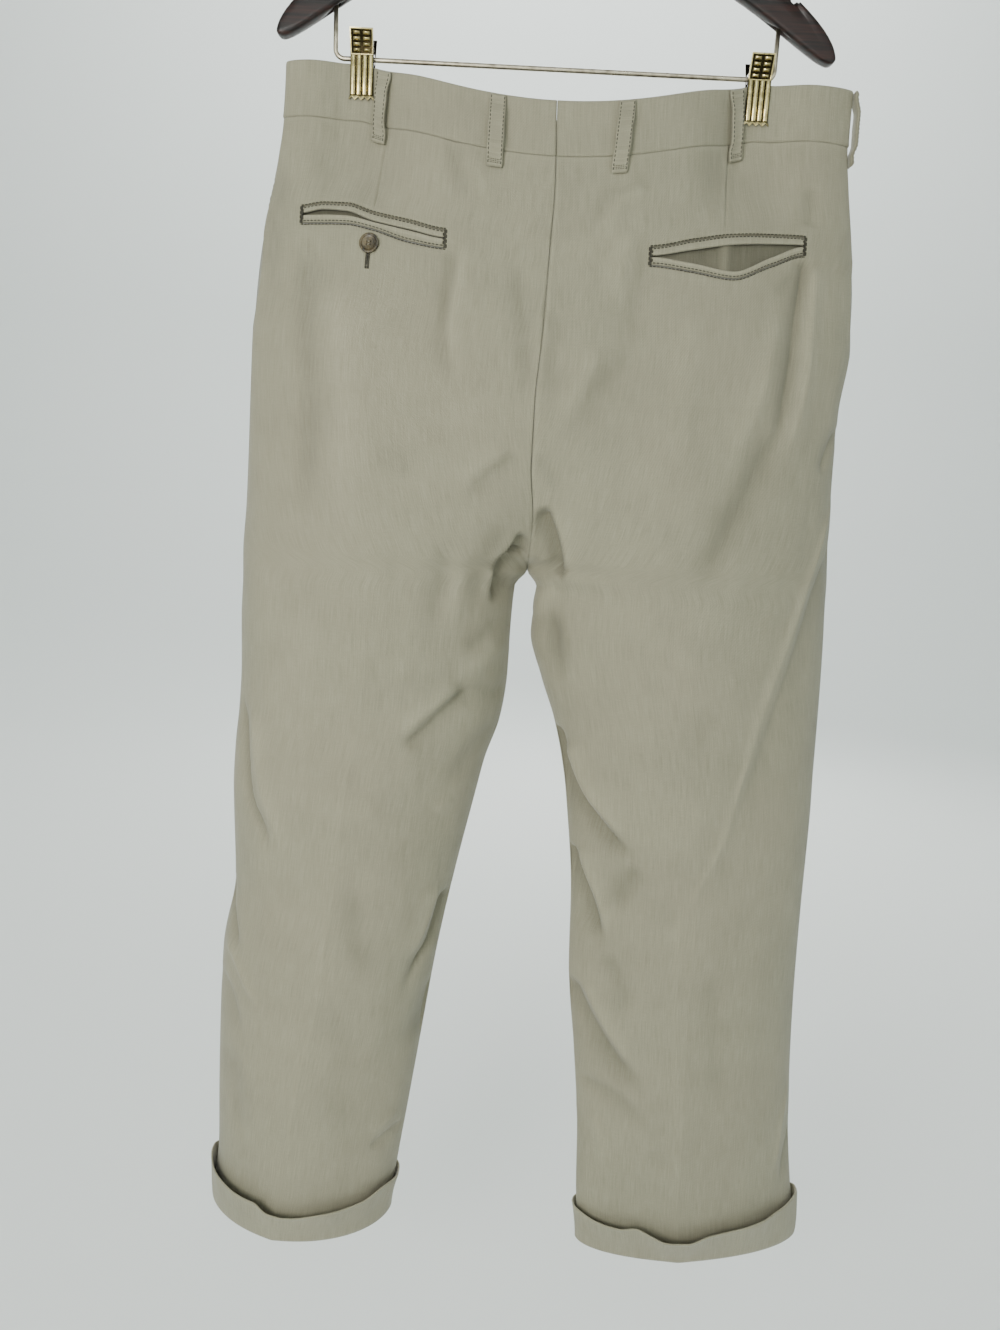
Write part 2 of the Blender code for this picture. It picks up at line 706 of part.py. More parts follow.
def add_hook():
    """Neck out of the hub, an S bend to one side and the curve over the rail."""
    ring = HOOK_RADIUS + HOOK_WIRE
    centre = Vector((0, 0, -HOOK_RADIUS))
    neck_foot = arm_centre(0) + HUB_HEIGHT / 2 - NECK_IN_WOOD
    start = math.radians(HOOK_START)
    join = centre + Vector((math.cos(start), 0, math.sin(start))) * ring
    pull = Vector((math.sin(-start), 0, math.cos(start)))
    low = Vector((0, 0, centre.z - ring - HOOK_BEND))
    route = [Vector((0, 0, neck_foot)), Vector((0, 0, low.z - HOOK_BEND / 2))]
    for i in range(9):
        share = i / 9
        first = low + Vector((0, 0, HOOK_BEND)) * share
        last = join - pull * HOOK_PULL * (1 - share)
        route.append(first.lerp(last, smooth(share, 0.0, 1.0)))
    for i in range(25):
        angle = start + math.radians(HOOK_MOUTH - HOOK_START) * i / 24
        route.append(centre + Vector((math.cos(angle), 0, math.sin(angle))) * ring)
    return add_wire("hook", route, HOOK_WIRE, 12, brass("hook"))


def add_bar():
    """Wire from arm to arm, bent down to the clips' height."""
    top = arm_centre(BAR_HALF) - ARM_HEIGHT / 2 + BAR_IN_WOOD / 2 - MM
    route = []
    for side in (-1, 1):
        arc = []
        for i in range(7):
            angle = math.pi / 2 * i / 6
            arc.append(Vector((side * (BAR_HALF - BAR_BEND + BAR_BEND * math.cos(angle)), 0,
                               BAR_HEIGHT + BAR_BEND - BAR_BEND * math.sin(angle))))
        stretch = [Vector((side * BAR_HALF, 0, top))] + arc
        route += stretch if side < 0 else stretch[::-1]
    return add_wire("clip_bar", route, BAR_WIRE, 12, brass("bar"))


def add_clip(half):
    """Two ribbed leaves on a spring round the bar, gripping the waistband."""
    x = CLIP_X[half]
    grip = PINCH_DEPTH + BAND_PROUD + SEAM
    for face in ("back", "front"):
        turned = SIGN[face]
        heights = ((CLIP_BOTTOM[half], grip), (CLIP_BOTTOM[half] + CLIP_JAW, grip),
                   (BAR_HEIGHT, grip), (CLIP_TOP[half], CLIP_OPEN))
        outside, inside = [], []
        for z, away in heights:
            row_out, row_in = [], []
            for i in range(2 * CLIP_RIBS + 1):
                across = CLIP_WIDTH * (i / (2 * CLIP_RIBS) - 0.5)
                rib = CLIP_RIB if i % 2 else 0.0
                row_in.append(Vector((x + across, turned * away, z)))
                row_out.append(Vector((x + across, turned * (away + CLIP_PLATE + rib), z)))
            outside.append(row_out)
            inside.append(row_in)
        add_wall("clip_%s_%s" % (half, face), outside, inside, brass(half + face))
    hole = BAR_WIRE + SEAM
    spring = ((SPRING_RADIUS, -SPRING_HALF), (SPRING_RADIUS, SPRING_HALF),
              (hole, SPRING_HALF), (hole, -SPRING_HALF))
    sections = []
    for k in range(16):
        angle = 2 * math.pi * k / 16
        sections.append([Vector((x + along, radius * math.cos(angle), BAR_HEIGHT + radius * math.sin(angle)))
                         for radius, along in spring])
    add_ring("clip_%s_spring" % half, sections, brass(half + "spring"))


def build():
    for item in list(bpy.data.objects):
        bpy.data.objects.remove(item)
    for half in ("left", "right"):
        panel = add_panel(half, "back")
        add_pocket(half, panel)
        add_panel(half, "front")
        add_waistband(half)
        add_cuff(half)
        add_slant_facing(half)
        add_clip(half)
    for name, row in LOOPS.items():
        add_loop(name, *row)
    add_fly()
    add_button("back_pocket_button", "left", "back", *BUTTON_PLACE, BUTTON_SEAT, BUTTON_RADIUS)
    centre = edges("left", WAIST_SEAM)[1]
    middle = (WAIST_TOP + WAIST_SEAM) / 2 - SAG
    add_button("waist_button", "left", "front", centre - WAIST_BUTTON_IN, middle,
               BAND_PROUD + 2 * SEAM, WAIST_BUTTON_RADIUS)
    add_wood()
    add_hook()
    add_bar()


build()
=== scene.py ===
# Pale khaki chinos with turn-up cuffs, hanging by the waistband from the clips of a
# dark wooden hanger. Metres, +Z up; the seat faces -Y and +X is the wearer's right.
# The origin is the top of the inside of the hook.

import math

import bmesh
import bpy
import numpy as np
from mathutils import Matrix, Vector


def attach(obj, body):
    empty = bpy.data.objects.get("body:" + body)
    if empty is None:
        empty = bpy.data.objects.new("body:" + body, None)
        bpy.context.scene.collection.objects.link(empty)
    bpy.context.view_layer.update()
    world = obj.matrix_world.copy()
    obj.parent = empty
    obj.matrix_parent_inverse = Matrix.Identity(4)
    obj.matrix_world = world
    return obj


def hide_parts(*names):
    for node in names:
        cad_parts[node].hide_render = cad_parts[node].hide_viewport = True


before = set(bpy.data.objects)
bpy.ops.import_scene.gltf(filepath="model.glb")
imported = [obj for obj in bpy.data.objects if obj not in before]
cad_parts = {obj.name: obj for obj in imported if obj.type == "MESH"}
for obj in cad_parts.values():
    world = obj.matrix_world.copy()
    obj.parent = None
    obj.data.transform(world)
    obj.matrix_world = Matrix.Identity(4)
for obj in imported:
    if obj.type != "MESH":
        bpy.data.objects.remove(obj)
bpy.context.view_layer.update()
print("frame loaded:", len(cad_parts), "nodes")

mm = 0.001
sideSign = {"left": -1, "right": 1, "back": -1, "front": 1}


# --- camera, floor and light ---

view = {
    "place": (-0.0186, -0.880, -0.486),
    "down": math.radians(12),
    "roll": math.radians(3),
    "lens": 27.07,          # mm on a 36 mm frame, the long side upright
    "floor": -1.50,
    "room": 4.2,            # from the middle to each side of the backdrop
}


def addCamera():
    forward = Vector((0, math.cos(view["down"]), -math.sin(view["down"])))
    right = Vector((1, 0, 0))
    up = right.cross(forward)
    turn = view["roll"]
    side = right * math.cos(turn) + up * math.sin(turn)
    top = up * math.cos(turn) - right * math.sin(turn)
    data = bpy.data.cameras.new("camera")
    data.sensor_width = 36
    data.lens = view["lens"]
    data.clip_start = 0.02
    item = bpy.data.objects.new("camera", data)
    bpy.context.collection.objects.link(item)
    item.matrix_world = Matrix((side, top, -forward)).transposed().to_4x4()
    item.location = view["place"]
    bpy.context.scene.camera = item


def deselectAll():
    for item in bpy.context.selected_objects:
        item.select_set(False)


def addRoom():
    # a pale floor whose edges sweep up into a low backdrop, far from the object
    deselectAll()
    size = view["room"] * 2
    bpy.ops.mesh.primitive_cube_add(size=size, location=(0, 0, view["floor"] + size / 2))
    room = bpy.context.object
    room.name = "floor"
    mesh = bmesh.new()
    mesh.from_mesh(room.data)
    top = [face for face in mesh.faces if face.normal.z > 0.9]
    bmesh.ops.delete(mesh, geom=top, context="FACES")
    foot = [edge for edge in mesh.edges if all(v.co.z < 0 for v in edge.verts)]
    bmesh.ops.bevel(mesh, geom=foot, offset=1.6, segments=14, profile=0.5, affect="EDGES")
    bmesh.ops.recalc_face_normals(mesh, faces=mesh.faces)
    bmesh.ops.reverse_faces(mesh, faces=mesh.faces)
    mesh.to_mesh(room.data)
    mesh.free()
    room.data.shade_smooth()
    paint = bpy.data.materials.new("floorPaint")
    paint.use_nodes = True
    shader = paint.node_tree.nodes["Principled BSDF"]
    shader.inputs["Base Color"].default_value = (0.80, 0.84, 0.82, 1)
    shader.inputs["Roughness"].default_value = 0.9
    room.data.materials.append(paint)


lights = {
    "world": (0.93, 0.97, 1.0, 0.32),
    # name: place, aim, size, watts, colour
    "key": ((-0.75, -1.45, -0.34), (0, 0, -0.56), 0.7, 22, (1.0, 0.98, 0.94)),
    "fill": ((1.7, -1.9, -0.4), (0, 0, -0.75), 1.6, 4.5, (0.97, 0.98, 1.0)),
    "rim": ((0.5, 2.4, 0.3), (0, 0, -0.65), 1.8, 34, (1.0, 0.98, 0.95)),
    "wash": ((0, 2.2, 2.6), (0, 4.6, 0.2), 2.8, 130, (1.0, 1.0, 1.0)),      # the backdrop
    "washFront": ((0, -3.0, 2.5), (0, -5.4, 0.2), 2.8, 95, (1.0, 1.0, 1.0)),
}


def addLights():
    world = bpy.data.worlds.new("sky")
    bpy.context.scene.world = world
    world.use_nodes = True
    back = world.node_tree.nodes["Background"]
    back.inputs["Color"].default_value = (*lights["world"][:3], 1)
    back.inputs["Strength"].default_value = lights["world"][3]
    for name in ("key", "fill", "rim", "wash", "washFront"):
        place, target, size, watts, colour = lights[name]
        data = bpy.data.lights.new(name, "AREA")
        data.size = size
        data.energy = watts
        data.color = colour
        item = bpy.data.objects.new(name, data)
        bpy.context.collection.objects.link(item)
        item.location = place
        item.visible_camera = False
        aim = Vector(target) - Vector(place)
        item.rotation_euler = aim.to_track_quat("-Z", "Y").to_euler()


addCamera()
addRoom()
addLights()
print("camera, floor and lights made")


# --- the cloth's form, the same as the solids' ---

garment = {
    "roundness": 1.15,
    "waistTop": -190 * mm,
    "waistSeam": -232 * mm,
    "forkTop": -440 * mm,
    "crotch": -586 * mm,
    "hem": -1240 * mm,
    "seam": 0.3 * mm,
    "sag": 26 * mm,
    "sagCurve": 1.2,
    "sagFrom": -230 * mm,
    "sagTo": -560 * mm,
    "clipX": {"left": -153 * mm, "right": 163 * mm},
    "pinchDepth": 3.4 * mm,
    "pinchFlat": 10 * mm,
    "pinchWidth": 26 * mm,
    "pinchFrom": -225 * mm,
    "pinchTo": -320 * mm,
    "swingFrom": -700 * mm,
    "dropFrom": -950 * mm,
    "creaseFrom": -500 * mm,
    "creaseFull": -700 * mm,
    "creaseTurnFrom": -880 * mm,
    "creaseWidth": 0.10,
    "pleatDepth": 6 * mm,
    "pleatEnd": -420 * mm,
    "slantAtWaist": 44 * mm,
    "slantEnd": -395 * mm,
}
creaseRidge = {"back": 4 * mm, "front": 6 * mm}
# place in Y of each leg's outer and inner edge at the hem, its drop, and the crease
legHang = {
    "left": {"outerY": 13 * mm, "innerY": 2 * mm, "drop": 0.0, "crease": 0.44},
    "right": {"outerY": 6 * mm, "innerY": -18 * mm, "drop": 9 * mm, "crease": 0.54},
}
bodyNames = ("z", "left outer", "left inner", "right inner", "right outer",
             "left depth", "right depth", "front share")
bodyRows = (
    (-190, -214.0, 3.0, 3.0, 239.0, 27, 27, 0.80),
    (-232, -216.0, 4.5, 4.5, 240.0, 33, 33, 0.80),
    (-260, -220.0, 5.0, 5.0, 244.0, 38, 38, 0.80),
    (-305, -230.0, 3.5, 3.5, 252.0, 46, 46, 0.80),
    (-350, -237.0, 2.0, 2.0, 259.0, 56, 56, 0.85),
    (-390, -240.5, 0.5, 0.5, 261.0, 64, 64, 0.85),
    (-440, -242.5, -2.0, -2.0, 257.0, 69, 69, 0.90),
    (-490, -244.0, -2.0, -2.0, 258.0, 70, 70, 0.90),
    (-540, -246.0, 2.0, 2.0, 261.0, 70, 70, 0.90),
    (-586, -249.0, 1.0, 1.0, 264.5, 69, 69, 0.90),
    (-600, -249.0, -9.0, 10.0, 265.0, 69, 67, 0.90),
    (-640, -250.5, -11.0, 7.0, 267.5, 68, 63, 0.90),
    (-680, -250.5, -11.5, 18.5, 269.5, 67, 60, 0.90),
    (-720, -252.5, -16.0, 33.0, 271.0, 66, 58, 0.90),
    (-760, -256.5, -28.0, 43.0, 272.5, 65, 56, 0.90),
    (-800, -258.5, -36.5, 49.5, 274.5, 64, 54, 0.90),
    (-880, -257.5, -52.5, 58.5, 276.5, 62, 50, 0.85),
    (-960, -270.0, -66.0, 61.5, 279.5, 60, 47, 0.80),
    (-1040, -274.5, -76.5, 71.5, 284.5, 58, 45, 0.75),
    (-1120, -277.0, -87.0, 80.0, 292.5, 58, 41, 0.70),
    (-1180, -278.0, -95.0, 83.0, 301.0, 58, 37, 0.70),
    (-1240, -283.5, -102.0, 87.5, 311.0, 59, 34, 0.75),
)


def smooth(value, low, high):
    share = np.clip((np.asarray(value, float) - low) / (high - low), 0.0, 1.0)
    return share * share * (3 - 2 * share)


def readRows(rows, column, place):
    # smooth value of one column at each place, the first column being the place
    data = np.array(sorted(row[:column + 1] for row in rows), float)
    keys, values = data[:, 0], data[:, column]
    steps = np.diff(keys)
    rise = np.diff(values) / steps
    slope = np.zeros(len(keys))
    both = rise[:-1] * rise[1:] > 0
    slope[1:-1][both] = 2 * rise[:-1][both] * rise[1:][both] / (rise[:-1] + rise[1:])[both]
    spot = np.clip(np.asarray(place, float), keys[0], keys[-1])
    i = np.clip(np.searchsorted(keys, spot, side="right") - 1, 0, len(keys) - 2)
    t = (spot - keys[i]) / steps[i]
    return (values[i] * (2 * t ** 3 - 3 * t ** 2 + 1) + values[i + 1] * (3 * t ** 2 - 2 * t ** 3)
            + slope[i] * steps[i] * (t ** 3 - 2 * t ** 2 + t)
            + slope[i + 1] * steps[i] * (t ** 3 - t ** 2))


def body(name, z):
    value = readRows(bodyRows, bodyNames.index(name), np.asarray(z) / mm)
    return value if name == "front share" else value * mm


def edgesAt(half, z):
    inner = body(half + " inner", z) + sideSign[half] * garment["seam"] / 2
    return body(half + " outer", z), inner


def turnAt(z):
    # the last tenth eases in, so the seat runs softly into the legs
    fork = np.clip((garment["forkTop"] - z) / (garment["forkTop"] - garment["crotch"]), 0.0, 1.0)
    t = np.clip((fork - 0.9) / 0.1, 0.0, 1.0)
    eased = 1.1198 * (2 * t ** 3 - 3 * t ** 2 + 1) + math.pi / 2 * (3 * t ** 2 - 2 * t ** 3) + 0.229 * (t ** 3 - 2 * t ** 2 + t)
    return math.pi / 2 + np.where(fork > 0.9, eased, np.arcsin(np.minimum(fork, 0.9)))


def sagAt(x, z):
    ends = garment["clipX"]
    centre, reach = (ends["left"] + ends["right"]) / 2, (ends["right"] - ends["left"]) / 2
    across = np.clip(np.abs(x - centre) / reach, 0.0, 1.0)
    fade = smooth(z, garment["sagTo"], garment["sagFrom"])
    return garment["sag"] * (1 - across ** 2) ** garment["sagCurve"] * fade


def creaseAt(half, z):
    low = legHang[half]["crease"]
    return 0.5 + (low - 0.5) * smooth(-z, -garment["creaseTurnFrom"], -garment["hem"])


def ridgeAt(half, face, s, z):
    away = s - creaseAt(half, z)
    onLeg = smooth(-z, -garment["creaseFrom"], -garment["creaseFull"])
    height = creaseRidge[face] * np.exp(-np.abs(away) / garment["creaseWidth"]) * onLeg
    if face == "front":
        width = np.where(away < 0, garment["creaseWidth"], garment["creaseWidth"] / 3)
        pleat = smooth(z, garment["pleatEnd"], garment["waistSeam"])
        height = height + garment["pleatDepth"] * pleat * np.exp(-np.abs(away) / width)
    return height


def skin(half, face, s, z):
    # the smooth outer face of the cloth; s runs from the side fold to the inner edge
    s, z = np.broadcast_arrays(np.asarray(s, float), np.asarray(z, float))
    outer, inner = edgesAt(half, z)
    angle = turnAt(z)
    x = outer + (inner - outer) * (1 - np.cos(angle * s)) / (1 - np.cos(angle))
    depth = body(half + " depth", z)
    if face == "front":
        depth = depth * body("front share", z)
    depth = depth * np.maximum(np.sin(angle * s), 0.0) ** garment["roundness"]
    depth = depth + ridgeAt(half, face, s, z) * np.sin(math.pi * s)
    fromClip = np.maximum(np.abs(x - garment["clipX"][half]) - garment["pinchFlat"], 0.0)
    nearClip = np.exp(-(fromClip / garment["pinchWidth"]) ** 2)
    nearClip = nearClip * smooth(z, garment["pinchTo"], garment["pinchFrom"])
    depth = depth + (garment["pinchDepth"] - depth) * nearClip
    low = smooth(-z, -garment["swingFrom"], -garment["hem"])
    across = (x - outer) / (inner - outer)
    hang = legHang[half]
    middle = hang["outerY"] * (1 - across) + hang["innerY"] * across
    drop = hang["drop"] * smooth(-z, -garment["dropFrom"], -garment["hem"])
    return np.stack((x, middle * low + sideSign[face] * depth, z - sagAt(x, z) - drop), axis=-1)


def unit(vectors):
    return vectors / np.maximum(np.linalg.norm(vectors, axis=-1, keepdims=True), 1e-9)


def skinFrame(half, face, s, z):
    # point, direction across and outward normal
    s, z = np.broadcast_arrays(np.asarray(s, float), np.asarray(z, float))
    across = unit(skin(half, face, np.minimum(s + 0.01, 1.0), z)
                  - skin(half, face, np.maximum(s - 0.01, 0.0), z))
    along = unit(skin(half, face, s, z + mm) - skin(half, face, s, z - mm))
    normal = unit(np.cross(across, along)) * sideSign[half] * sideSign[face]
    return skin(half, face, s, z), across, normal


def findS(half, x, z):
    outer, inner = edgesAt(half, z)
    angle = turnAt(z)
    share = np.clip((x - outer) / (inner - outer), 0.0, 1.0)
    return np.arccos(1 - share * (1 - np.cos(angle))) / angle


def flatHeight(x, z):
    # the height before the waist sags, of a real place
    flat = np.asarray(z, float)
    for _ in range(6):
        flat = z + sagAt(x, flat)
    return flat


# --- folds, placed one by one ---

# Each fold: which halves, its height outwards in mm, its reach in mm to the left and to
# the right of its path, how sharp its crest is (2 soft, 1 sharp), the shares of its
# length over which it fades in and out, and its path across and down in mm.
foldNames = ("halves", "height", "left", "right", "crest", "fadeIn", "fadeOut", "path")
backFolds = (
    # seat left: under the buttoned pocket's inner end
    ("left", -4.1, 7, 3.5, 1.2, 0.1, 0.5,
     ((-74, -325), (-72, -342), (-74, -360), (-76, -379), (-77, -399), (-73, -418), (-66, -436), (-59, -455))),
    ("left", 2.6, 4, 10, 1.6, 0.12, 0.45,
     ((-67, -325), (-66, -344), (-68, -364), (-70, -385), (-69, -406), (-63, -429), (-55, -447))),
    # seat left: soft trough down the outer side, and the roll beside it
    ("left", -3.2, 9, 14, 1.8, 0.15, 0.25,
     ((-196, -318), (-193, -351), (-191, -398), (-187, -453), (-186, -508), (-186, -565))),
    ("left", 2, 12, 16, 1.8, 0.2, 0.3,
     ((-166, -345), (-160, -390), (-154, -452), (-150, -514), (-149, -578))),
    ("left", -1.7, 10, 12, 1.8, 0.2, 0.3,
     ((-216, -256), (-220, -295), (-222, -342), (-223, -398))),
    # seat left: pulls beside the centre seam and towards the fork
    ("left", -2.3, 8, 6, 1.6, 0.2, 0.3,
     ((-26, -331), (-18, -361), (-12, -392), (-9, -422), (-10, -453))),
    ("left", -1.9, 6, 8, 1.5, 0.2, 0.4,
     ((-82, -242), (-74, -264), (-67, -283), (-61, -298))),
    ("left", 1.4, 8, 6, 1.7, 0.2, 0.4,
     ((-63, -256), (-54, -277), (-45, -297))),
    ("left", -2.5, 4, 9, 1.3, 0.12, 0.35,
     ((-12, -485), (-21, -493), (-35, -504), (-47, -517), (-51, -525))),
    ("left", 1.7, 9, 5, 1.6, 0.2, 0.4,
     ((-21, -481), (-35, -491), (-50, -504), (-59, -519))),
    ("left", -2.9, 10, 14, 1.6, 0.2, 0.4,
     ((-15, -540), (-24, -557), (-33, -578), (-39, -602), (-41, -626))),
    ("left", -2.3, 8, 8, 1.7, 0.25, 0.35,
     ((-68, -558), (-68, -587), (-73, -608), (-78, -635))),
    ("left", 1.9, 9, 9, 1.7, 0.25, 0.35,
     ((-56, -562), (-55, -591), (-59, -617), (-65, -642))),
    ("left", -1.3, 14, 10, 1.8, 0.2, 0.3,
     ((-130, -491), (-111, -495), (-90, -503))),
    # seat right: longest fold of the seat, from the open pocket's outer end
    ("right", -6.8, 8, 3, 1.15, 0.05, 0.45,
     ((211, -320), (209, -339), (207, -358), (206, -386), (205, -417), (201, -449), (193, -475), (182, -499))),
    ("right", -4.9, 13, 12, 1.6, 0.2, 0.35,
     ((195, -453), (183, -488), (170, -518), (157, -546), (143, -575), (135, -600))),
    ("right", 3.5, 4, 9, 1.5, 0.08, 0.35,
     ((218, -324), (217, -353), (217, -389), (217, -424), (211, -458), (201, -489))),
    ("right", 2.2, 10, 8, 1.8, 0.2, 0.4,
     ((189, -356), (185, -395), (179, -434), (166, -470), (152, -503))),
    ("right", -2.3, 8, 7, 1.6, 0.2, 0.1,
     ((210, -265), (211, -283), (212, -298))),
    ("right", -1.7, 4, 5, 1.5, 0.3, 0.3,
     ((201, -333), (193, -343), (184, -352))),
    # seat right: pulls from the belt loop, the centre seam and the fork
    ("right", -2.2, 5, 8, 1.5, 0.15, 0.3,
     ((83, -266), (63, -276), (48, -284), (41, -298), (37, -317))),
    ("right", 2, 9, 5, 1.6, 0.15, 0.3,
     ((77, -277), (58, -287), (51, -301), (47, -319))),
    ("right", -1.9, 6, 7, 1.6, 0.2, 0.3,
     ((79, -308), (76, -341), (72, -370), (67, -395), (61, -412))),
    ("right", 1.6, 8, 6, 1.7, 0.2, 0.3,
     ((67, -307), (60, -338), (56, -369))),
    ("right", -2.6, 9, 9, 1.6, 0.2, 0.35,
     ((78, -398), (60, -417), (48, -433), (40, -452), (29, -469), (17, -479))),
    ("right", 2, 9, 7, 1.7, 0.2, 0.35,
     ((46, -400), (38, -423), (30, -441), (18, -459))),
    ("right", -2, 5, 7, 1.5, 0.2, 0.4,
     ((3, -484), (10, -498), (19, -513), (24, -523))),
    ("right", -2, 8, 8, 1.6, 0.2, 0.4,
     ((12, -368), (12, -402), (11, -436), (8, -463))),
    # seat right: sliver at the side
    ("right", -3.2, 5, 3, 1.3, 0.25, 0.25,
     ((259, -449), (251, -463), (244, -480), (241, -492))),
    ("right", 1.4, 12, 12, 1.8, 0.2, 0.3,
     ((123, -361), (118, -407), (114, -454), (111, -501))),
    # leg right: long thin ridge from the side down to the shin
    ("right", 2.8, 2.2, 4.5, 1.15, 0.1, 0.3,
     ((262, -505), (252, -530), (245, -553), (233, -588), (224, -625), (216, -653), (208, -682), (201, -714), (196, -744), (190, -772), (182, -815), (169, -845), (157, -883), (146, -915))),
    ("right", -2.9, 3, 16, 1.3, 0.12, 0.35,
     ((270, -511), (265, -546), (246, -582), (237, -619), (229, -653), (220, -688), (212, -718), (206, -748), (198, -779), (190, -818))),
    # leg right: inside of the thigh and knee
    ("right", -2.4, 10, 9, 1.8, 0.35, 0.4,
     ((20, -609), (22, -627), (23, -650), (24, -669))),
    ("right", 2.6, 6, 6, 1.6, 0.2, 0.3,
     ((27, -595), (16, -606), (13, -616), (15, -629))),
    ("right", -9, 11, 3, 1.25, 0.08, 0.25,
     ((35, -722), (41, -743), (49, -766), (59, -786), (71, -799), (85, -813), (98, -824), (114, -834))),
    ("right", 3.5, 3, 10, 1.6, 0.1, 0.3,
     ((44, -737), (54, -761), (65, -780), (79, -794), (93, -807), (108, -817))),
    ("right", -4.1, 12, 9, 1.8, 0.2, 0.4,
     ((115, -838), (106, -854), (98, -873), (91, -892))),
    ("right", -8.1, 9, 2.8, 1.25, 0.08, 0.35,
     ((56, -835), (60, -850), (67, -866), (75, -882), (82, -901), (89, -927))),
    ("right", 2.9, 3, 8, 1.6, 0.1, 0.35,
     ((63, -833), (69, -853), (78, -871), (86, -890), (93, -916))),
    ("right", -3.2, 9, 8, 1.7, 0.2, 0.3,
     ((90, -927), (100, -944), (109, -960), (108, -980), (104, -998))),
    ("right", -5.7, 12, 5, 1.5, 0.1, 0.35,
     ((63, -964), (72, -981), (83, -999), (95, -1016), (111, -1036), (126, -1051), (142, -1070))),
    ("right", 2.6, 4, 10, 1.7, 0.1, 0.35,
     ((75, -963), (85, -983), (97, -1002), (113, -1023), (131, -1040))),
    ("right", -3.2, 9, 6, 1.6, 0.15, 0.35,
     ((74, -1064), (91, -1067), (110, -1073), (125, -1084), (140, -1105))),
    ("right", 1.7, 8, 8, 1.7, 0.2, 0.3,
     ((90, -1097), (101, -1119), (107, -1151))),
    # leg right: shin
    ("right", -1.6, 14, 14, 1.9, 0.25, 0.3,
     ((151, -681), (151, -734), (153, -789))),
    ("right", -1.7, 12, 10, 1.8, 0.2, 0.3,
     ((194, -924), (195, -974), (203, -1036), (215, -1091))),
    ("right", 1.9, 3, 4, 1.3, 0.25, 0.25,
     ((284, -1069), (280, -1100), (278, -1130), (276, -1171))),
    ("right", -2.6, 3, 7, 1.4, 0.25, 0.25,
     ((296, -1083), (294, -1122), (288, -1147), (286, -1183))),
    ("right", -1.4, 8, 8, 1.6, 0.2, 0.3,
     ((147, -1124), (161, -1133), (170, -1143))),
    # leg left: side sliver and the fold under it
    ("left", -5.7, 3, 4, 1.3, 0.2, 0.3,
     ((-246, -704), (-243, -730), (-241, -758), (-238, -787), (-233, -805), (-220, -826), (-216, -854))),
    ("left", 2.6, 5, 9, 1.6, 0.2, 0.3,
     ((-234, -709), (-229, -748), (-222, -787), (-208, -819), (-204, -848))),
    ("left", -4.3, 4, 4, 1.4, 0.2, 0.2,
     ((-260, -883), (-260, -908), (-254, -930), (-249, -951))),
    ("left", 2.5, 3, 4, 1.3, 0.12, 0.4,
     ((-265, -951), (-254, -955), (-244, -970), (-234, -987), (-221, -1003))),
    ("left", -2.3, 10, 4, 1.5, 0.12, 0.4,
     ((-273, -983), (-259, -992), (-250, -1013), (-243, -1040))),
    # leg left: diagonal at the knee, and pulls to the fork
    ("left", -5.7, 3, 9, 1.2, 0.15, 0.2,
     ((-40, -686), (-53, -694), (-65, -705), (-77, -717), (-89, -729), (-100, -737))),
    ("left", 2.9, 8, 3, 1.6, 0.15, 0.3,
     ((-50, -681), (-63, -691), (-76, -703), (-89, -715), (-102, -727))),
    ("left", -2.6, 8, 10, 1.7, 0.2, 0.3,
     ((-10, -696), (-30, -689), (-47, -689), (-60, -695))),
    ("left", 2.3, 10, 8, 1.7, 0.2, 0.4,
     ((-15, -647), (-28, -658), (-44, -668), (-59, -679))),
    ("left", -2.3, 8, 8, 1.7, 0.25, 0.3,
     ((-21, -621), (-30, -636), (-42, -648), (-51, -653))),
    ("left", -2.2, 9, 12, 1.8, 0.2, 0.3,
     ((-12, -719), (-33, -736), (-48, -758), (-57, -781))),
    ("left", 1.2, 10, 10, 1.8, 0.3, 0.3,
     ((-163, -799), (-141, -798), (-111, -795))),
    ("left", 1.3, 7, 7, 1.7, 0.3, 0.3,
     ((-69, -800), (-61, -794), (-53, -790))),
    # leg left: inside of the calf
    ("left", -7.4, 5, 3, 1.3, 0.15, 0.35,
     ((-56, -881), (-60, -901), (-65, -922), (-70, -939), (-79, -952), (-87, -968), (-94, -979))),
    ("left", 2.9, 9, 3, 1.6, 0.15, 0.35,
     ((-65, -875), (-69, -896), (-75, -916), (-82, -933), (-92, -949))),
    ("left", -3.5, 12, 12, 1.8, 0.25, 0.35,
     ((-61, -976), (-70, -1004), (-78, -1024), (-84, -1054))),
    ("left", -2, 12, 10, 1.8, 0.25, 0.35,
     ((-138, -859), (-134, -908), (-122, -946), (-109, -969))),
    ("left", -2.9, 3, 7, 1.4, 0.2, 0.3,
     ((-90, -1136), (-100, -1135), (-112, -1141), (-121, -1148))),
    ("left", 1.4, 7, 3, 1.5, 0.2, 0.3,
     ((-95, -1117), (-106, -1123), (-119, -1130))),
    ("left", -1.6, 14, 12, 1.9, 0.25, 0.3,
     ((-148, -980), (-143, -1044), (-138, -1109), (-135, -1166))),
    ("left", -1.7, 12, 10, 1.9, 0.25, 0.3,
     ((-255, -1047), (-250, -1097), (-246, -1149))),
    # fork: edge of the fold left of the seam, the hollow beside it, the slit under it
    ("left", -9, 3.6, 11, 1.4, 0.12, 0.3,
     ((-3, -550), (-13, -568), (-21, -578), (-25, -601), (-26, -617))),
    ("left", 3.4, 7, 2.2, 1.4, 0.15, 0.3,
     ((-7, -550), (-17, -567), (-26, -576), (-30, -599), (-31, -615))),
    ("left", -7, 2.4, 2.6, 1.4, 0.2, 0.2,
     ((-15, -571), (-8, -569), (0, -569))),
    ("left", 1.6, 1.6, 2.5, 1.3, 0.15, 0.2,
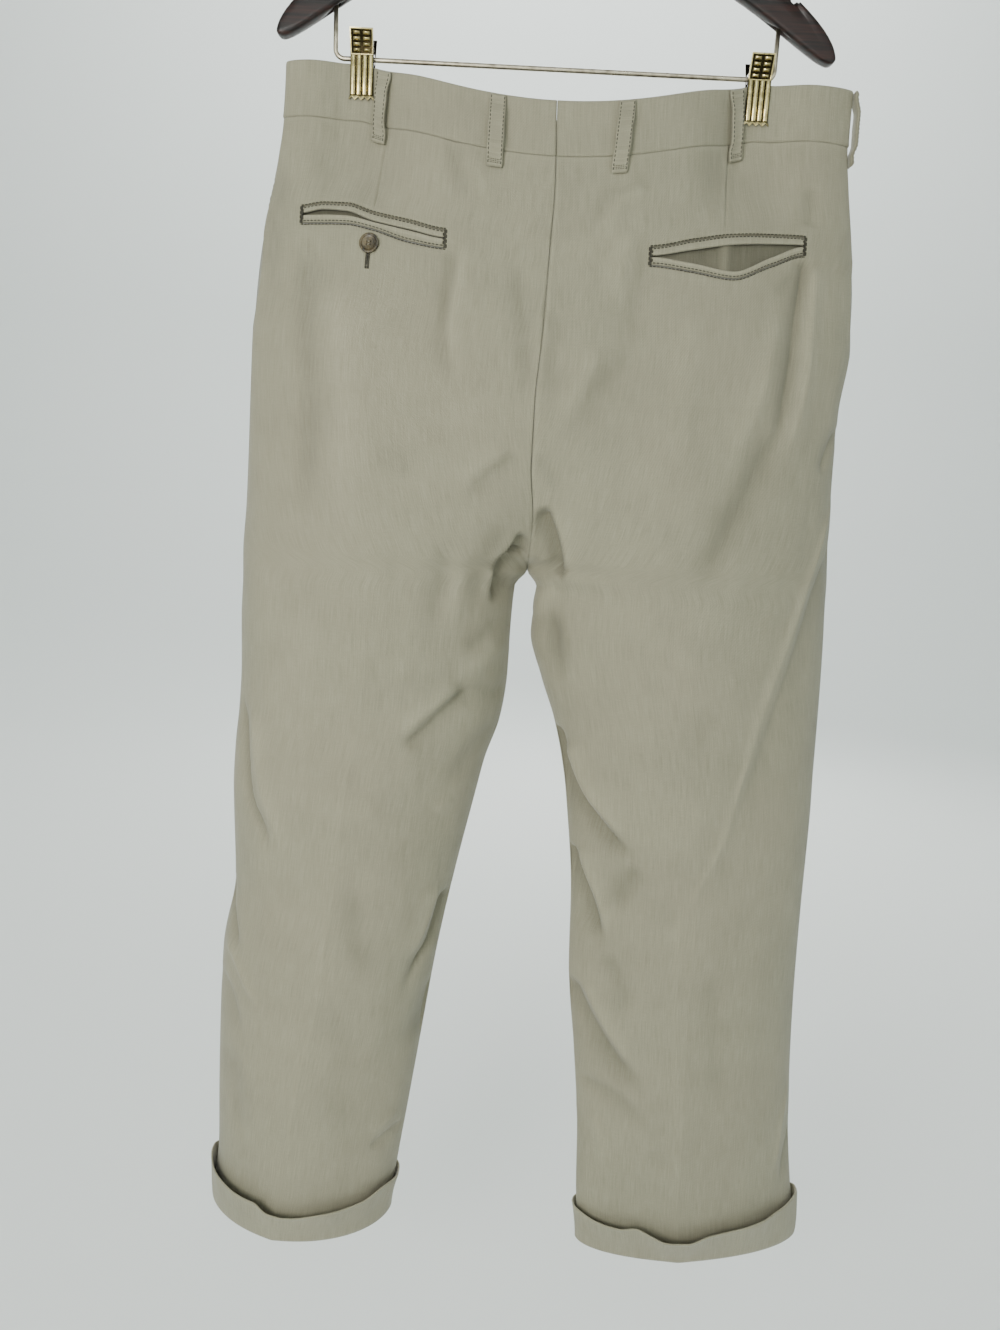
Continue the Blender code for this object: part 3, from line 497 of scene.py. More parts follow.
     ((-12, -573), (-5, -575), (1, -583), (7, -588))),
    # fork: hollow right of the seam, the ridge across it
    ("right", -11, 11, 3.6, 1.4, 0.15, 0.25,
     ((8, -527), (15, -540), (21, -555), (24, -568), (29, -593))),
    ("right", 3.6, 2.2, 8, 1.4, 0.15, 0.3,
     ((15, -528), (21, -541), (27, -558), (32, -575), (35, -595))),
    ("right", 3.4, 2.6, 2.6, 1.3, 0.2, 0.2,
     ((10, -571), (18, -578), (27, -589))),
    ("right", -4, 8, 8, 1.7, 0.35, 0.5,
     ((17, -609), (24, -629), (29, -651), (34, -688))),
    # pressed: pressed creases down both legs
    ("left", 0.9, 2.2, 2.6, 1.1, 0.25, 0.05,
     ((-155, -869), (-162, -928), (-170, -991), (-182, -1049), (-192, -1105), (-194, -1162))),
    ("right", 0.9, 2.4, 2.2, 1.1, 0.25, 0.05,
     ((149, -818), (152, -875), (155, -934), (162, -1025), (169, -1088), (175, -1154))),
)
frontFolds = (
    # under the waistband, beside the pleats
    ("left", -1.8, 8, 10, 1.6, 0.15, 0.4, ((-60, -262), (-66, -305), (-70, -350), (-68, -410))),
    ("left", 1.4, 9, 8, 1.7, 0.2, 0.4, ((-86, -268), (-92, -320), (-95, -380))),
    ("right", -2.2, 9, 11, 1.6, 0.12, 0.4, ((70, -264), (80, -312), (88, -370), (90, -430))),
    ("right", 1.3, 10, 8, 1.7, 0.2, 0.4, ((102, -266), (112, -312), (118, -365))),
    # pulls from the fork
    ("left", -3.4, 6, 12, 1.5, 0.12, 0.4, ((-12, -560), (-40, -545), (-75, -520), (-108, -488))),
    ("left", 1.6, 8, 7, 1.7, 0.15, 0.4, ((-20, -540), (-46, -524), (-76, -500))),
    ("left", -2.6, 6, 9, 1.5, 0.15, 0.4, ((-12, -592), (-42, -592), (-80, -604))),
    ("right", -3.8, 12, 5, 1.5, 0.12, 0.4, ((14, -565), (46, -546), (84, -524), (118, -498))),
    ("right", 2.0, 7, 8, 1.6, 0.15, 0.4, ((16, -582), (52, -566), (90, -546))),
    ("right", -2.2, 8, 8, 1.6, 0.15, 0.4, ((18, -610), (48, -606), (78, -596))),
    # thighs
    ("left", -1.8, 12, 13, 1.8, 0.3, 0.3, ((-200, -430), (-206, -500), (-200, -585))),
    ("right", -2.0, 10, 15, 1.8, 0.3, 0.3, ((222, -420), (226, -500), (214, -590), (198, -665))),
    ("right", 1.4, 12, 12, 1.8, 0.3, 0.3, ((184, -450), (182, -520), (176, -580))),
    # knees
    ("left", -4.0, 4, 9, 1.3, 0.15, 0.3, ((-42, -735), (-70, -752), (-98, -768), (-128, -777))),
    ("left", 2.0, 8, 4, 1.5, 0.15, 0.3, ((-52, -722), (-80, -738), (-108, -753))),
    ("left", -2.4, 8, 6, 1.5, 0.15, 0.35, ((-254, -790), (-232, -812), (-205, -830))),
    ("right", -4.6, 10, 4, 1.3, 0.1, 0.3, ((52, -760), (74, -790), (100, -812), (134, -826))),
    ("right", 2.2, 4, 9, 1.5, 0.1, 0.3, ((58, -744), (82, -771), (110, -794))),
    ("right", -3.0, 6, 8, 1.4, 0.15, 0.35, ((268, -826), (242, -850), (216, -880), (196, -906))),
    # calves
    ("left", -4.0, 9, 4, 1.3, 0.12, 0.35, ((-62, -900), (-84, -935), (-110, -965), (-134, -984))),
    ("left", -2.4, 8, 8, 1.5, 0.15, 0.35, ((-266, -930), (-246, -965), (-222, -1000))),
    ("left", -1.8, 11, 10, 1.8, 0.25, 0.3, ((-190, -1060), (-184, -1120), (-180, -1168))),
    ("right", -4.4, 9, 4, 1.3, 0.12, 0.35, ((68, -958), (92, -1000), (118, -1034), (148, -1058))),
    ("right", 2.0, 4, 9, 1.6, 0.12, 0.35, ((76, -948), (102, -988), (130, -1020))),
    ("right", -2.8, 6, 9, 1.4, 0.15, 0.35, ((288, -1008), (262, -1046), (238, -1090))),
    ("right", 1.6, 8, 8, 1.7, 0.2, 0.35, ((78, -1092), (104, -1112), (134, -1120))),
)


def smoothPath(points, count=16):
    # evenly spaced points of a curve through the given ones
    points = np.array(points, float)
    if len(points) < 3:
        t = np.linspace(0, 1, count)[:, None]
        return points[0] * (1 - t) + points[-1] * t
    padded = np.vstack((2 * points[0] - points[1], points, 2 * points[-1] - points[-2]))
    fine = []
    for i in range(len(points) - 1):
        a, b, c, d = padded[i:i + 4]
        for t in np.linspace(0, 1, 12, endpoint=False):
            fine.append(0.5 * ((2 * b) + (c - a) * t + (2 * a - 5 * b + 4 * c - d) * t ** 2
                               + (3 * b - a - 3 * c + d) * t ** 3))
    fine = np.array(fine + [points[-1]])
    run = np.concatenate(([0], np.cumsum(np.linalg.norm(np.diff(fine, axis=0), axis=1))))
    even = np.linspace(0, run[-1], count)
    return np.stack([np.interp(even, run, fine[:, k]) for k in range(fine.shape[1])], axis=1)


def readyFolds(face):
    # each fold with its smoothed path and the box that it reaches, worked out once
    ready = []
    for halves, height, left, right, crest, fadeIn, fadeOut, path in (backFolds if face == "back" else frontFolds):
        way = smoothPath(path)
        reach = max(left, right) * 5 ** (1 / crest)
        ready.append((halves, height, left, right, crest, fadeIn, fadeOut, way,
                      way.min(axis=0) - reach, way.max(axis=0) + reach))
    return ready


foldsOf = {face: readyFolds(face) for face in ("back", "front")}


def foldHeight(half, face, points):
    # how far the folds move the cloth out, at each point of it
    x, z = points[..., 0].ravel() / mm, points[..., 2].ravel() / mm
    total = np.zeros(len(x))
    if not len(x):
        return total.reshape(points.shape[:-1])
    lowX, highX, lowZ, highZ = x.min(), x.max(), z.min(), z.max()
    for halves, height, left, right, crest, fadeIn, fadeOut, way, low, high in foldsOf[face]:
        if halves not in (half, "both") or lowX > high[0] or highX < low[0] or lowZ > high[1] or highZ < low[1]:
            continue
        near = (x > low[0]) & (x < high[0]) & (z > low[1]) & (z < high[1])
        if not near.any():
            continue
        px, pz = x[near][:, None], z[near][:, None]
        ax, az = way[:-1, 0], way[:-1, 1]
        dx, dz = np.diff(way[:, 0]), np.diff(way[:, 1])
        length = dx ** 2 + dz ** 2
        t = np.clip(((px - ax) * dx + (pz - az) * dz) / length, 0, 1)
        gapX, gapZ = px - (ax + t * dx), pz - (az + t * dz)
        gap = np.sqrt(gapX ** 2 + gapZ ** 2)
        best = np.argmin(gap, axis=1)
        pick = np.arange(len(best))
        gap, side = gap[pick, best], (dx[best] * gapZ[pick, best] - dz[best] * gapX[pick, best])
        along = (best + t[pick, best]) / (len(way) - 1)
        reachHere = np.where(side > 0, right, left)
        shape = np.exp(-(gap / reachHere) ** crest)
        fade = smooth(along, 0, max(fadeIn, 1e-3)) * smooth(1 - along, 0, max(fadeOut, 1e-3))
        total[near] += height * shape * fade
    return total.reshape(points.shape[:-1]) * mm


def edgeFade(half, s, z):
    # folds die away at the side seams and at the inseam, where two panels meet
    inner = smooth(garment["forkTop"] - z, 0.0, 60 * mm)
    return smooth(s, 0.0, 0.05) * (1 - inner * (1 - smooth(1 - s, 0.0, 0.022)))


# Darts above the back pockets: place across at the waist seam and at the pocket
darts = {"left": (-131.5, -137.0), "right": (143.5, 141.5)}
dart = {"top": -246 * mm, "bottom": -306 * mm, "dip": 0.9 * mm, "dipWidth": 0.8 * mm,
        "ridge": 0.55 * mm, "ridgeWidth": 1.6 * mm}


def dartX(half, z):
    top, bottom = darts[half]
    share = (z - dart["top"]) / (dart["bottom"] - dart["top"])
    return (top + (bottom - top) * share) * mm


def dartHeight(half, face, points):
    if face == "front":
        return 0.0
    x, z = points[..., 0], points[..., 2]
    away = x - dartX(half, z)
    fade = smooth(z, dart["bottom"] + 1 * mm, dart["bottom"] + 12 * mm)
    dip = -dart["dip"] * np.exp(-(np.abs(away) / dart["dipWidth"]) ** 1.6)
    ridge = dart["ridge"] * np.exp(-((away + 2.2 * mm) / dart["ridgeWidth"]) ** 2)
    return (dip + ridge) * fade


def cloth(half, face, s, z, out=0.0):
    base, _, normal = skinFrame(half, face, s, z)
    lift = foldHeight(half, face, base) * edgeFade(half, s, z) + dartHeight(half, face, base) + out
    return base + normal * lift[..., None]


def onCloth(half, face, x, z, out=0.0):
    # place and outward normal over the cloth, at real places across and up
    x, z = np.broadcast_arrays(np.asarray(x, float), np.asarray(z, float))
    flat = flatHeight(x, z)
    s = findS(half, x, flat)
    point = cloth(half, face, s, flat)
    across = cloth(half, face, np.minimum(s + 0.006, 1), flat) - cloth(half, face, np.maximum(s - 0.006, 0), flat)
    along = cloth(half, face, s, flat + mm) - cloth(half, face, s, flat - mm)
    normal = unit(np.cross(across, along)) * sideSign[half] * sideSign[face]
    return point + normal * np.asarray(out)[..., None], normal


# --- materials ---

def newMaterial(name):
    material = bpy.data.materials.new(name)
    material.use_nodes = True
    return material, material.node_tree, material.node_tree.nodes["Principled BSDF"]


def addNode(tree, kind, **settings):
    node = tree.nodes.new(kind)
    for key, value in settings.items():
        if key in node.inputs:
            node.inputs[key].default_value = value
        else:
            setattr(node, key, value)
    return node


def addNoise(tree, coordinates, scale, detail=3.0, stretch=(1, 1, 1), turn=0.0):
    # noise read through a mapping, so a grain can be stretched and turned
    mapping = addNode(tree, "ShaderNodeMapping")
    mapping.inputs["Scale"].default_value = stretch
    mapping.inputs["Rotation"].default_value = (0, 0, turn)
    tree.links.new(coordinates, mapping.inputs["Vector"])
    noise = addNode(tree, "ShaderNodeTexNoise", Scale=scale, Detail=detail)
    tree.links.new(mapping.outputs["Vector"], noise.inputs["Vector"])
    return noise.outputs["Fac"]


def rampBetween(tree, value, low, high, first=0.0, second=1.0):
    node = addNode(tree, "ShaderNodeMapRange")
    for name, number in (("From Min", low), ("From Max", high), ("To Min", first), ("To Max", second)):
        node.inputs[name].default_value = number
    tree.links.new(value, node.inputs["Value"])
    return node.outputs["Result"]


def calculate(tree, kind, first, second):
    node = addNode(tree, "ShaderNodeMath", operation=kind)
    for socket, value in zip(node.inputs, (first, second)):
        if isinstance(value, (int, float)):
            socket.default_value = value
        else:
            tree.links.new(value, socket)
    return node.outputs["Value"]


def mixColours(tree, share, first, second):
    node = addNode(tree, "ShaderNodeMix", data_type="RGBA")
    for socket, value in ((node.inputs[0], share), (node.inputs[6], first), (node.inputs[7], second)):
        if isinstance(value, tuple):
            socket.default_value = (*value, 1)
        else:
            tree.links.new(value, socket)
    return node.outputs[2]


def addBump(tree, shader, height, strength, distance, over=None):
    bump = addNode(tree, "ShaderNodeBump", Strength=strength, Distance=distance)
    tree.links.new(height, bump.inputs["Height"])
    if over is not None:
        tree.links.new(over, bump.inputs["Normal"])
    tree.links.new(bump.outputs["Normal"], shader.inputs["Normal"])
    return bump.outputs["Normal"]


twill = {
    "colour": (0.256, 0.244, 0.169),
    "pale": (0.319, 0.306, 0.223),
    "dark": (0.196, 0.185, 0.124),
    "warm": (0.270, 0.241, 0.173),
    "ribs": 900,            # diagonal twill lines to a metre
    "roughness": 0.88,
}


def makeTwill():
    # brushed cotton twill: fine diagonal ribs, slubs along the warp and soft mottling, with painted shade and highlight
    # from the shade attribute
    material, tree, shader = newMaterial("twill")
    place = addNode(tree, "ShaderNodeTexCoord")
    uv, space = place.outputs["UV"], place.outputs["Object"]
    slub = addNoise(tree, uv, 1.0, 3.0, (1150, 42, 1))
    weft = addNoise(tree, uv, 1.0, 2.0, (90, 1300, 1))
    fleck = addNoise(tree, uv, 1100, 1.0)
    cloud = addNoise(tree, space, 26, 4.0)
    patch = addNoise(tree, space, 7, 3.0)
    grain = calculate(tree, "ADD", calculate(tree, "MULTIPLY", slub, 0.55), calculate(tree, "MULTIPLY", weft, 0.2))
    grain = calculate(tree, "ADD", grain, calculate(tree, "MULTIPLY", fleck, 0.25))
    colour = mixColours(tree, rampBetween(tree, grain, 0.36, 0.64), twill["dark"], twill["pale"])
    colour = blendConstant(tree, 0.40, colour, twill["colour"])
    streak = addNoise(tree, uv, 1.0, 3.0, (280, 15, 1))
    warmth = rampBetween(tree, patch, 0.35, 0.65, 0.0, 0.55)
    colour = mixColours(tree, warmth, colour, blendConstant(tree, 0.5, colour, twill["warm"]))
    # painted shade and highlight: the shade attribute of each point scales the colour, darker in seam ditches, fold
    # troughs, pocket mouths and at loop edges, lighter on fold crests and some edges
    paintedShade = addNode(tree, "ShaderNodeAttribute", attribute_name="shade")
    light = calculate(tree, "ADD", rampBetween(tree, cloud, 0.3, 0.7, 0.955, 1.045), paintedShade.outputs["Fac"])
    light = calculate(tree, "ADD", light, rampBetween(tree, streak, 0.3, 0.7, -0.022, 0.022))
    bright = addNode(tree, "ShaderNodeVectorMath", operation="SCALE")
    tree.links.new(colour, bright.inputs[0])
    tree.links.new(light, bright.inputs["Scale"])
    tree.links.new(bright.outputs[0], shader.inputs["Base Color"])
    shader.inputs["Roughness"].default_value = twill["roughness"]
    shader.inputs["Sheen Weight"].default_value = 0.22
    shader.inputs["Sheen Roughness"].default_value = 0.45
    shader.inputs["Specular IOR Level"].default_value = 0.25
    lines = addNode(tree, "ShaderNodeTexWave", bands_direction="X", Scale=twill["ribs"] * 0.314)
    turned = addNode(tree, "ShaderNodeMapping")
    turned.inputs["Rotation"].default_value = (0, 0, math.radians(28))
    tree.links.new(uv, turned.inputs["Vector"])
    tree.links.new(turned.outputs["Vector"], lines.inputs["Vector"])
    height = calculate(tree, "ADD", calculate(tree, "MULTIPLY", lines.outputs["Fac"], 0.35), calculate(tree, "MULTIPLY", slub, 0.8))
    height = calculate(tree, "ADD", height, calculate(tree, "MULTIPLY", fleck, 0.35))
    weave = addBump(tree, shader, height, 0.55, 0.00035)
    soft = addNoise(tree, space, 60, 3.0, (1, 1, 0.6))
    crumple = addNoise(tree, space, 17, 2.0, (1.5, 1, 0.55))
    rumpled = addBump(tree, shader, soft, 0.4, 0.0014, weave)
    addBump(tree, shader, crumple, 0.55, 0.007, rumpled)
    return material


def blendConstant(tree, share, first, second):
    # a mix with a fixed share
    node = addNode(tree, "ShaderNodeMix", data_type="RGBA")
    node.inputs[0].default_value = share
    for socket, value in ((node.inputs[6], first), (node.inputs[7], second)):
        if isinstance(value, tuple):
            socket.default_value = (*value, 1)
        else:
            tree.links.new(value, socket)
    return node.outputs[2]


def makeThread(name, dark, pale):
    material, tree, shader = newMaterial(name)
    place = addNode(tree, "ShaderNodeTexCoord")
    twist = addNoise(tree, place.outputs["Object"], 2600, 2.0)
    colour = mixColours(tree, rampBetween(tree, twist, 0.35, 0.65), dark, pale)
    tree.links.new(colour, shader.inputs["Base Color"])
    shader.inputs["Roughness"].default_value = 0.6
    addBump(tree, shader, twist, 0.4, 0.0001)
    return material


def makeBrass(name, pale, dull, roughness, tarnish):
    # plated wire and stampings, dull where dust and fingers have been
    material, tree, shader = newMaterial(name)
    place = addNode(tree, "ShaderNodeTexCoord")
    cloud = addNoise(tree, place.outputs["Object"], 160, 4.0)
    fine = addNoise(tree, place.outputs["Object"], 900, 2.0)
    spots = rampBetween(tree, cloud, 0.42, 0.72, 0.0, tarnish)
    hollow = addNode(tree, "ShaderNodeAttribute", attribute_name="groove")
    spots = mixColours(tree, hollow.outputs["Fac"], mixColours(tree, spots, pale, dull), (0.022, 0.017, 0.008))
    tree.links.new(spots, shader.inputs["Base Color"])
    shader.inputs["Metallic"].default_value = 1.0
    tree.links.new(rampBetween(tree, cloud, 0.3, 0.7, roughness - 0.08, roughness + 0.12), shader.inputs["Roughness"])
    addBump(tree, shader, fine, 0.15, 0.0001)
    return material


def makeWood():
    # near-black stained and lacquered wood with a faint red grain along the arms
    material, tree, shader = newMaterial("wood")
    place = addNode(tree, "ShaderNodeTexCoord")
    grain = addNoise(tree, place.outputs["Object"], 1.0, 5.0, (18, 260, 420))
    pores = addNoise(tree, place.outputs["Object"], 1.0, 2.0, (60, 900, 1500))
    colour = mixColours(tree, rampBetween(tree, grain, 0.42, 0.68), (0.0075, 0.0050, 0.0048), (0.030, 0.0115, 0.0090))
    tree.links.new(colour, shader.inputs["Base Color"])
    tree.links.new(rampBetween(tree, grain, 0.3, 0.7, 0.34, 0.50), shader.inputs["Roughness"])
    shader.inputs["Specular IOR Level"].default_value = 0.3
    shader.inputs["Coat Weight"].default_value = 0.12
    shader.inputs["Coat Roughness"].default_value = 0.25
    addBump(tree, shader, pores, 0.25, 0.0002)
    return material


def makeHorn():
    material, tree, shader = newMaterial("horn")
    place = addNode(tree, "ShaderNodeTexCoord")
    swirl = addNoise(tree, place.outputs["Object"], 1.0, 4.0, (240, 240, 90), 0.7)
    streak = addNoise(tree, place.outputs["Object"], 1.0, 3.0, (700, 200, 200), 0.4)
    colour = mixColours(tree, rampBetween(tree, swirl, 0.38, 0.66), (0.015, 0.011, 0.005), (0.090, 0.066, 0.027))
    colour = mixColours(tree, rampBetween(tree, streak, 0.55, 0.75, 0.0, 0.6), colour, (0.20, 0.155, 0.075))
    tree.links.new(colour, shader.inputs["Base Color"])
    shader.inputs["Roughness"].default_value = 0.33
    shader.inputs["Coat Weight"].default_value = 0.15
    addBump(tree, shader, streak, 0.2, 0.0001)
    return material


twillMaterial = makeTwill()
threadMaterial = makeThread("thread", (0.018, 0.016, 0.010), (0.045, 0.041, 0.026))
buttonThreadMaterial = makeThread("buttonThread", (0.10, 0.085, 0.055), (0.21, 0.185, 0.13))
brassMaterial = makeBrass("brass", (0.70, 0.59, 0.29), (0.26, 0.21, 0.09), 0.24, 0.85)
# a near-black rod laid along a buttonhole's slit, painted shadow for the opening
slitShadowMaterial = makeThread("slit", (0.012, 0.011, 0.009), (0.03, 0.027, 0.02))
wireMaterial = makeBrass("wire", (0.62, 0.55, 0.42), (0.25, 0.21, 0.15), 0.34, 0.9)
woodMaterial = makeWood()
hornMaterial = makeHorn()
print("materials made")


# --- cloth meshes ---

def meshFrom(name, points, faces, material, uv=None, shade=None, sharp=False):
    mesh = bpy.data.meshes.new(name)
    mesh.from_pydata(np.asarray(points).reshape(-1, 3).tolist(), [], faces if isinstance(faces, list) else faces.tolist())
    if uv is not None:
        flat = np.asarray(uv, np.float32).reshape(-1, 2)
        layer = mesh.uv_layers.new(name="UVMap")
        corners = np.zeros(len(mesh.loops), int)
        mesh.loops.foreach_get("vertex_index", corners)
        layer.data.foreach_set("uv", flat[corners].ravel())
    if shade is not None:
        layer = mesh.attributes.new("shade", "FLOAT", "POINT")
        layer.data.foreach_set("value", np.asarray(shade, np.float32).ravel())
    mesh.materials.append(material)
    if not sharp:
        mesh.shade_smooth()
    item = bpy.data.objects.new(name, mesh)
    bpy.context.collection.objects.link(item)
    return item


def gridFaces(rows, columns, closedAcross=False):
    index = np.arange(rows * columns).reshape(rows, columns)
    if closedAcross:
        index = np.concatenate((index, index[:, :1]), axis=1)
    return np.stack((index[:-1, :-1], index[:-1, 1:], index[1:, 1:], index[1:, :-1]), axis=-1)


def sweep(name, sections, material, closed=False, shade=None, uvAlong=None):
    # body through closed sections, rows along the length and columns round each section
    sections = np.asarray(sections)
    rows, columns = sections.shape[:2]
    points = sections
    if closed:
        points = np.concatenate((sections, sections[:1]))
        rows += 1
    run = np.cumsum(np.concatenate((np.zeros((1, columns)), np.linalg.norm(np.diff(points, axis=0), axis=2))), axis=0)
    wrapped = np.concatenate((points, points[:, :1]), axis=1)
    girth = np.cumsum(np.concatenate((np.zeros((rows, 1)), np.linalg.norm(np.diff(wrapped, axis=1), axis=2)), axis=1), axis=1)
    index = np.arange(len(sections) * columns).reshape(-1, columns)
    if closed:
        index = np.concatenate((index, index[:1]))
    index = np.concatenate((index, index[:, :1]), axis=1)
    quads = np.stack((index[:-1, :-1], index[:-1, 1:], index[1:, 1:], index[1:, :-1]), axis=-1).reshape(-1, 4)
    corner = np.stack((np.broadcast_to(run.mean(axis=1, keepdims=True), girth.shape), girth), axis=-1)
    if uvAlong == "down":
        corner = corner[..., ::-1]
    corner = np.stack((corner[:-1, :-1], corner[:-1, 1:], corner[1:, 1:], corner[1:, :-1]), axis=2).reshape(-1, 2)
    faces = quads.tolist()
    if not closed:
        faces += [index[0, :-1].tolist(), index[-1, :-1][::-1].tolist()]
        corner = np.concatenate((corner, np.zeros((2 * columns, 2))))
    item = meshFrom(name, sections, faces, material, shade=shade)
    layer = item.data.uv_layers.new(name="UVMap")
    layer.data.foreach_set("uv", corner.astype(np.float32).ravel())
    makeOutward(item)
    return item


def makeOutward(item):
    mesh = bmesh.new()
    mesh.from_mesh(item.data)
    bmesh.ops.recalc_face_normals(mesh, faces=mesh.faces)
    if mesh.calc_volume(signed=True) < 0:
        bmesh.ops.reverse_faces(mesh, faces=mesh.faces)
    mesh.to_mesh(item.data)
    mesh.free()


def applyModifier(item, name):
    deselectAll()
    item.select_set(True)
    bpy.context.view_layer.objects.active = item
    bpy.ops.object.modifier_apply(modifier=name)


def thicken(item, thickness):
    # the wall goes inwards from the outer face
    wall = item.modifiers.new("wall", "SOLIDIFY")
    wall.thickness = thickness
    wall.offset = -1
    wall.use_rim = True
    applyModifier(item, "wall")


def settle(item, nodes):
    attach(item, "root")
    if nodes:
        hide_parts(*([nodes] if isinstance(nodes, str) else nodes))


# --- panels ---

panel = {
    "cloth": 1.3 * mm,
    "roll": 0.9 * mm,       # radius of the turned seam edges
    "rowsSeat": 2.4 * mm,   # spacing of the rows above and below the fork
    "rowsLeg": 3.3 * mm,
    "columns": {"back": 102, "front": 84},
    "frontRows": 1.35,      # how much wider the front's rows are spaced
}
pocketNames = ("x", "top", "mouth top", "mouth bottom", "bottom", "stand out")
pocketRows = {
    "left": (
        (-197.5, -300.5, -306.6, -308.4, -315.5, 0.0),
        (-178.0, -298.0, -303.6, -308.3, -315.5, 1.2),
        (-160.0, -298.4, -304.6, -308.8, -315.8, 1.0),
        (-137.0, -305.0, -312.2, -313.6, -320.0, 0.3),
        (-108.0, -311.0, -318.2, -319.4, -328.5, 0.0),
        (-78.0, -316.7, -323.6, -324.6, -332.5, 0.0),
    ),
    "right": (
        (81.5, -321.5, -329.0, -330.2, -337.5, 0.0),
        (117.0, -314.3, -322.5, -333.5, -340.5, 3.0),
        (148.0, -308.3, -316.5, -337.5, -344.0, 6.0),
        (180.0, -306.0, -313.5, -324.0, -331.5, 3.0),
        (208.5, -305.0, -312.0, -313.2, -321.0, 0.0),
    ),
}
pocket = {"seamIn": 1.3 * mm, "endIn": 1.3 * mm, "weltCut": 10.2 * mm}


def pocketAt(half, name, x):
    return readRows(pocketRows[half], pocketNames.index(name), np.asarray(x) / mm) * mm


def pocketEnds(half, inset=0.0):
    ends = sorted(row[0] * mm for row in pocketRows[half])
    return ends[0] + inset, ends[-1] - inset


def slantS(half, z):
    outer = edgesAt(half, z)[0]
    share = (z - garment["slantEnd"]) / (garment["waistSeam"] - garment["slantEnd"])
    away = garment["slantAtWaist"] * np.maximum(share, 0.0)
    return findS(half, outer - sideSign[half] * away, z)


def columnS(half, face, column, z):
    crease = creaseAt(half, z)
    s = np.where(column <= 0.5, crease * column * 2, crease + (1 - crease) * (column * 2 - 1))
    if face == "front":
        start = np.where(z > garment["slantEnd"], slantS(half, z), 0.0)
        s = start + s * (1 - start)
    return s


def withExtra(even, places, offsets):
    # an even run of values with more of them beside some places
    values = list(even)
    for spot in places:
        values += [spot + offset for offset in offsets]
    values = np.array(sorted(v for v in values if even[0] - 1e-9 <= v <= even[-1] + 1e-9))
    keep = np.concatenate(([True], np.diff(values) > (even[-1] - even[0]) * 1.5e-4))
    values = values[keep]
    values[-1] = even[-1]
    return values


def columnAt(half, x, z):
    # the back panel's column at a real place across
    flat = float(flatHeight(x, z))
    s, crease = float(findS(half, x, flat)), float(creaseAt(half, flat))
    return s / crease / 2 if s <= crease else ((s - crease) / (1 - crease) + 1) / 2


def panelHeights(face):
    spread = panel["frontRows"] if face == "front" else 1.0
    top, bottom = garment["waistSeam"] + 0.35 * mm, garment["hem"] + 3 * mm
    fork = garment["crotch"]
    seat = np.linspace(top, fork, int((top - fork) / panel["rowsSeat"] / spread))
    leg = np.linspace(fork, bottom, int((fork - bottom) / panel["rowsLeg"] / spread))
    heights = np.concatenate((seat, leg[1:]))
    return np.unique(np.concatenate((heights, top - np.array((0.4, 0.9, 1.6)) * mm)))[::-1]


def panelGrid(half, face):
    # s and z of the panel's points, warped so that the pocket's slot falls on whole facets
    heights = panelHeights(face)
    near = np.array((0.0012, 0.003, 0.0055, 0.009))
    near = np.concatenate((-near[::-1], near))
    even = np.linspace(0, 1, panel["columns"][face] + 1)
    if face == "front":
        columns = withExtra(even, (0, 1, 0.5), near)
        column, z = np.meshgrid(columns, heights)
        return columnS(half, face, column, z), z, column, None
    x0, x1 = pocketEnds(half, pocket["endIn"])
    middle = -318 * mm
    ends = sorted((columnAt(half, x0, middle), columnAt(half, x1, middle)))
    dartColumn = columnAt(half, float(dartX(half, -276 * mm)), -276 * mm)
    columns = withExtra(even, (0, 1, 0.5, dartColumn) + tuple(ends), near)
    marks = [int(np.argmin(np.abs(columns - end))) for end in ends]
    for mark, end in zip(marks, ends):
        columns[mark] = end
    column, z = np.meshgrid(columns, heights)
    # rows of the slot's upper and lower border
    flatMiddle = float(flatHeight((x0 + x1) / 2, middle))
    s = columnS(half, face, column, np.full_like(z, flatMiddle))
    x = skin(half, face, s[0], np.full(len(columns), flatMiddle))[:, 0]
    inX = np.clip(x, x0, x1)
    zTop = flatHeight(inX, pocketAt(half, "top", inX) - pocket["seamIn"])
    zLow = flatHeight(inX, pocketAt(half, "bottom", inX) + pocket["seamIn"])
    upper = int(np.argmin(np.abs(heights - zTop.mean())))
    lower = int(np.argmin(np.abs(heights - zLow.mean())))
    warped = z.copy()
    above = 1 - smooth(heights, heights[upper], heights[0])
    warped[:upper + 1] += (zTop - heights[upper])[None, :] * above[:upper + 1, None]
    share = ((heights[upper:lower + 1] - heights[upper]) / (heights[lower] - heights[upper]))[:, None]
    warped[upper:lower + 1] = zTop * (1 - share) + zLow * share
    below = smooth(heights, heights[lower] - 100 * mm, heights[lower])
    warped[lower + 1:] += (zLow - heights[lower])[None, :] * below[lower + 1:, None]
    # columns stand upright beside the pocket, and follow the dart above it
    plain = columnS(half, face, column, warped)
    plainX = skin(half, face, plain, warped)[..., 0]
    dartMark = int(np.argmin(np.abs(columns - dartColumn)))
    wanted = np.broadcast_to(x, plainX.shape)
    nearPocket = (smooth(warped, flatMiddle - 90 * mm, flatMiddle - 25 * mm)
                  * (1 - smooth(warped, flatMiddle + 14 * mm, flatMiddle + 40 * mm)))
    moved = plainX * (1 - nearPocket) + wanted * nearPocket
    lean = dartX(half, warped[:, dartMark] - sagAt(moved[:, dartMark], warped[:, dartMark])) - moved[:, dartMark]
    beside = np.exp(-((moved - moved[:, dartMark:dartMark + 1]) / (16 * mm)) ** 2)
    onDart = smooth(warped, -312 * mm, -296 * mm)
    moved = moved + lean[:, None] * beside * onDart
    changed = (nearPocket > 0) | (beside * onDart > 1e-3)
    s = np.where(changed, findS(half, moved, warped), plain)
    s[:, 0], s[:, -1] = 0.0, 1.0
    left, right = sorted(marks)
    return s, warped, column, (upper, lower, left, right)


